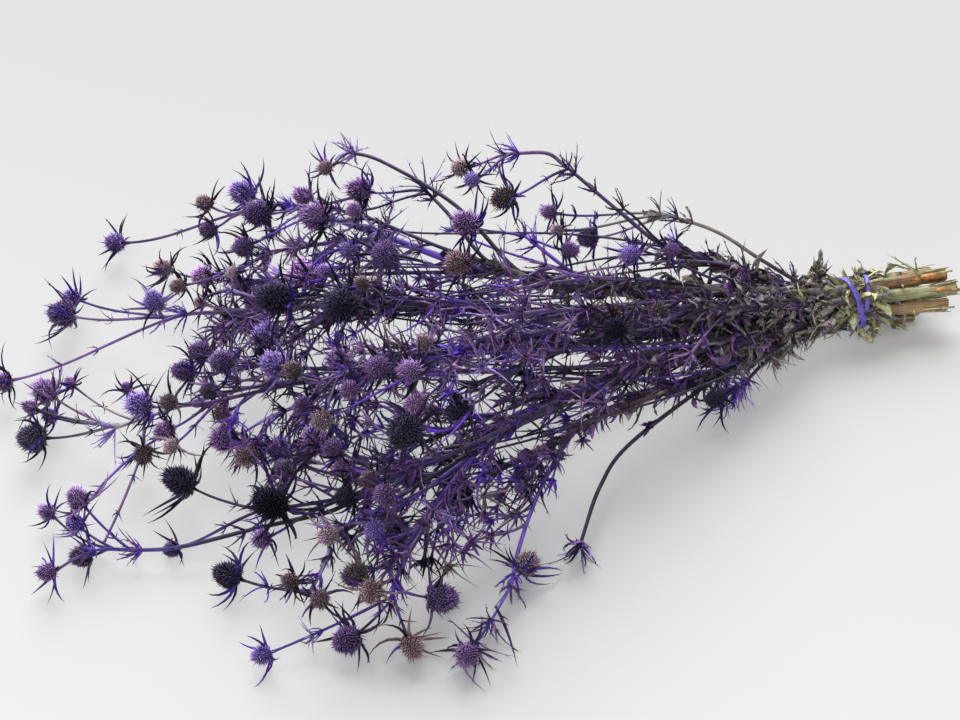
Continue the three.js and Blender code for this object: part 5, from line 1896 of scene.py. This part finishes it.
def grow_side_stem(stalks, blades, line, look, rng):
    """A runner or a thread, with a star of leaves at its end."""
    near, far = pick(rng, THREAD_TONES), pick(rng, THREAD_TONES)
    radii = np.linspace(*look["radii"], len(line))
    tube(stalks, line, radii, look["sides"], limb_tints(len(line), near, far, rng))
    grow_star(blades, line[-1], run_at(line, -2), look["leaves"], look["length"], far, rng,
              thick=0.7, half_wide=look["half_wide"], spines=look["spines"])


def grow_flowers(stalks, heads, blades, plant, seed, rng):
    """A stem's heads on their stalks, each with its bracts."""
    for number, flower in enumerate(plant["flowers"]):
        near, far = plant["limbs"][flower["limb"]].tones[1], pick(rng, STALK_TONES)
        if flower["tone"] in INK_STALKED:
            far = TONES["ink"]
        line = grow_stalk(stalks, flower["bend"], STALK_RADIUS, rng, near, far)
        grow_head(heads, flower, seed + HEAD_SEED + number)
        grow_flower_bracts(blades, flower, seed + BRACT_SEED + number)
        if flower["reach"] > LEAFY_STALK:
            i = int(len(line) * rng.uniform(*HALF_WAY))
            grow_star(blades, line[i], run_at(line, i), 4, rng.uniform(5, 10), far, rng,
                      thick=0.8, half_wide=0.55, spines=2)


def grow_whorls(blades, plant, seed):
    """The spiny leaves at a stem's joints, drier the nearer they are to the tie."""
    for number, limb in enumerate(plant["limbs"]):
        if (number, plant["stem"]["name"]) == STUB:
            continue
        for k, whorl in enumerate(limb.whorls):
            tones = WHORL_TONES if whorl["length"] == FORK_LEAF else DRY_TONES
            if along_bundle(whorl["foot"]) < FAN_START:
                tones = CUT_TONES
            grow_whorl_leaves(blades, whorl, tones, seed + number * SEEDS_TO_A_LIMB + k)


def build_stem(plant, sprigs):
    """A stem's three pieces."""
    index = plant["index"]
    name = plant["stem"]["name"]
    seed = STEM_SEED + index * STEM_SEED_STEP
    rng = np.random.default_rng(seed)
    stalks, heads, leaves, blades, scraps = Pile(), Pile(), Pile(), Blades(), Scraps()
    grow_trunk(stalks, plant, seed + TRUNK_SEED)
    for limb in plant["limbs"][1:]:
        grow_limb(stalks, limb, rng, *limb.tones)
    for line in plant["runners"]:
        grow_side_stem(stalks, blades, line, RUNNER_LOOK, rng)
    for line in plant["threads"]:
        grow_side_stem(stalks, blades, line, THREAD_LOOK, rng)
    grow_flowers(stalks, heads, blades, plant, seed, rng)
    grow_whorls(blades, plant, seed + WHORL_SEED)
    for sprig in sprigs:
        grow_sprig(stalks, blades, sprig, rng)
    for point, run, count, length, tone in by_hand["knots"][index]:
        grow_star(blades, point, run, count, length, TONES[tone], rng, thick=0.9,
                  half_wide=0.9, spines=2)
    for point, run, length, tone in by_hand["tufts"][index]:
        grow_tuft(blades, point, run, length, TONES[tone], rng)
    for number, (point, run, size, tone) in enumerate(by_hand["buried"][index]):
        own_seed = seed + BURIED_SEED + number * 2
        grow_buried(heads, blades, point, run, size, tone, rng, own_seed)
    for point, _, across, down, tone in by_hand["long stalks"][index]:
        grow_long_stalk(stalks, blades, point, across, down, TONES[tone], rng)
    for point, run, across, down, rise, half_wide, tone in by_hand["long leaves"][index]:
        grow_long_leaf(blades, point, run, across, down, rise, half_wide, TONES[tone], rng)
    grow_mass(scraps, plant, seed + MASS_SEED)
    for point, run, count, length, half_wide, tone in by_hand["torn"][index]:
        grow_torn(scraps, point, run, count, length, half_wide, TONES[tone], rng)
    grow_bark_strips(blades, plant, rng)
    scraps.sweep_into(leaves)
    blades.sweep_into(leaves)
    finish_piece(stalks, name, "stalks", name)
    finish_piece(heads, name, "heads", name)
    finish_piece(leaves, name, "leaves", name)


def lay_out_side_stems():
    """Every stem's runners, and then the threads, which end where limbs and runners are."""
    for plant in plants:
        plant["runners"] = grow_runners(plant, RUNNER_SEED + plant["index"])
    skeleton = Skeleton()
    flat = layout_of(skeleton.points)
    for plant in plants:
        plant["threads"] = grow_threads(plant, skeleton, flat, THREAD_SEED + plant["index"])


lay_out_side_stems()
for plant in plants:
    for limb, pair in zip(plant["limbs"], plant["stem"]["tones"].split()):
        limb.tones = [TONES[name] for name in pair.split(":")]
all_sprigs = scatter_sprigs()
stalk_places, stalk_runs, stalk_stems, stalk_layout = stalk_points()
by_hand = {
    "knots": rooted(KNOTS),
    "tufts": rooted(TUFTS),
    "torn": rooted(TORN),
    "long leaves": rooted(LONG_LEAVES),
    "buried": rooted(BURIED),
    "long stalks": rooted(LONG_STALKS),
}
for plant in plants:
    build_stem(plant, all_sprigs[plant["index"]])

# ---------------------------------------------------------------- the tie

BAND_TINT = linear("7868dc")
BAND_STEPS = 96
BAND_SECTION = 10


def build_tie():
    """Three flat strands wound round the bundle."""
    pile = Pile()
    for turn in BAND_TURNS:
        rings = []
        for k in range(BAND_SECTION):
            angle = k * FULL_TURN / BAND_SECTION
            radius = BAND_INNER + BAND_THICK / 2 * (1 + math.sin(angle))
            slide = BAND_WIDTH / 2 * math.cos(angle)
            rings.append(band_ring(turn, radius, slide, BAND_STEPS))
        points = np.stack(rings, 1)
        low = np.arange(BAND_STEPS)[:, None] * BAND_SECTION
        high = ((np.arange(BAND_STEPS) + 1) % BAND_STEPS)[:, None] * BAND_SECTION
        k = np.arange(BAND_SECTION)[None]
        after = (k + 1) % BAND_SECTION
        faces = np.concatenate([
            np.stack([low + k, high + k, high + after], -1).reshape(-1, 3),
            np.stack([low + k, high + after, low + after], -1).reshape(-1, 3),
        ])
        pile.add(points, faces, BAND_TINT)
    finish_piece(pile, "tie", "strands", "tie_band")


build_tie()

# ---------------------------------------------------------------- stage, light and camera

FLOOR_DARKENS = (0.35, 1.0, 0.0)  # the way in which painted shade makes the paper darker
FLOOR_GLOWS = (-0.68, 0.73, 0.0)  # the way in which the paper's painted glow grows
PAPER = 0.86  # how bright it looks where nothing shades it
LIT = 1.245  # what the lamps and the room give to a white sheet
FLOOR_HALF = 6  # metres
ROOM_COLOUR = (1.0, 1.0, 0.995, 1)
ROOM_STRENGTH = 0.32
SUNS = (  # name, the way it shines, strength, spread in degrees
    ("window_behind", (0.1, -1.2, -0.95), 3.7, 48),
    ("window_in_front", (0.25, 0.8, -1.1), 1.0, 40),
)
SENSOR_WIDTH = 36


def along_floor(shade, way, *stops_and_values):
    """A value that goes smoothly from one to another between two places along a way."""
    along = shade.vector("DOT_PRODUCT", "Value", {0: shade.place(), 1: way})
    return shade.ranged(along, *stops_and_values, interpolation_type="SMOOTHSTEP")


def build_floor():
    """A sheet of pale paper, made a little darker towards the back and the right by painted shade.

    Where it glows more, with painted light that no shadow falls on, its shadows are weaker.
    """
    mesh = bpy.data.meshes.new("floor")
    half = FLOOR_HALF
    corners = [(-half, -half, 0), (half, -half, 0), (half, half, 0), (-half, half, 0)]
    mesh.from_pydata(corners, [], [(0, 1, 2, 3)])
    floor = bpy.data.objects.new("floor", mesh)
    bpy.context.scene.collection.objects.link(floor)
    shade = Shading("floor_paper")
    # Painted shade: the paper darkens towards the back and the right.
    bright = along_floor(shade, FLOOR_DARKENS, -0.45, 0.45, PAPER * 1.02, PAPER * 0.9)
    # Painted light: an emission that grows towards the left and the back and weakens shadows
    # there.
    fill = along_floor(shade, FLOOR_GLOWS, -0.11, -0.05, 0.1, 0.5)
    shade.set(shade.shader, {
        "Base Color": shade.joined("DIVIDE", shade.joined("SUBTRACT", bright, fill), LIT),
        "Emission Strength": fill,
        "Emission Color": (1, 1, 1, 1),
        "Roughness": 0.9,
        "Specular IOR Level": 0.0,
    })
    mesh.materials.append(shade.material)


def add_sun(name, way, strength, spread):
    """A broad soft light that comes from far off along a way."""
    light = bpy.data.lights.new(name, "SUN")
    light.energy = strength
    light.angle = math.radians(spread)
    lamp = bpy.data.objects.new(name, light)
    bpy.context.scene.collection.objects.link(lamp)
    lamp.rotation_euler = Vector(way).to_track_quat("-Z", "Y").to_euler()


def build_stage():
    """The paper, the light of a room with two windows, and the camera at the layout's eye."""
    build_floor()
    scene = bpy.context.scene
    scene.view_settings.view_transform = "Standard"
    world = bpy.data.worlds.new("soft_room")
    scene.world = world
    world.use_nodes = True
    background = world.node_tree.nodes["Background"]
    background.inputs["Color"].default_value = ROOM_COLOUR
    background.inputs["Strength"].default_value = ROOM_STRENGTH
    for sun in SUNS:
        add_sun(*sun)
    camera = bpy.data.objects.new("camera", bpy.data.cameras.new("camera"))
    scene.collection.objects.link(camera)
    camera.data.sensor_width = SENSOR_WIDTH
    camera.data.lens = EYE_DISTANCE / (STEP * LAYOUT_WIDE) * SENSOR_WIDTH
    camera.location = (EYE - BOX_FOOT) * MM
    camera.rotation_euler = (math.pi / 2 - VIEW_RISE, 0, 0)
    scene.camera = camera


build_stage()
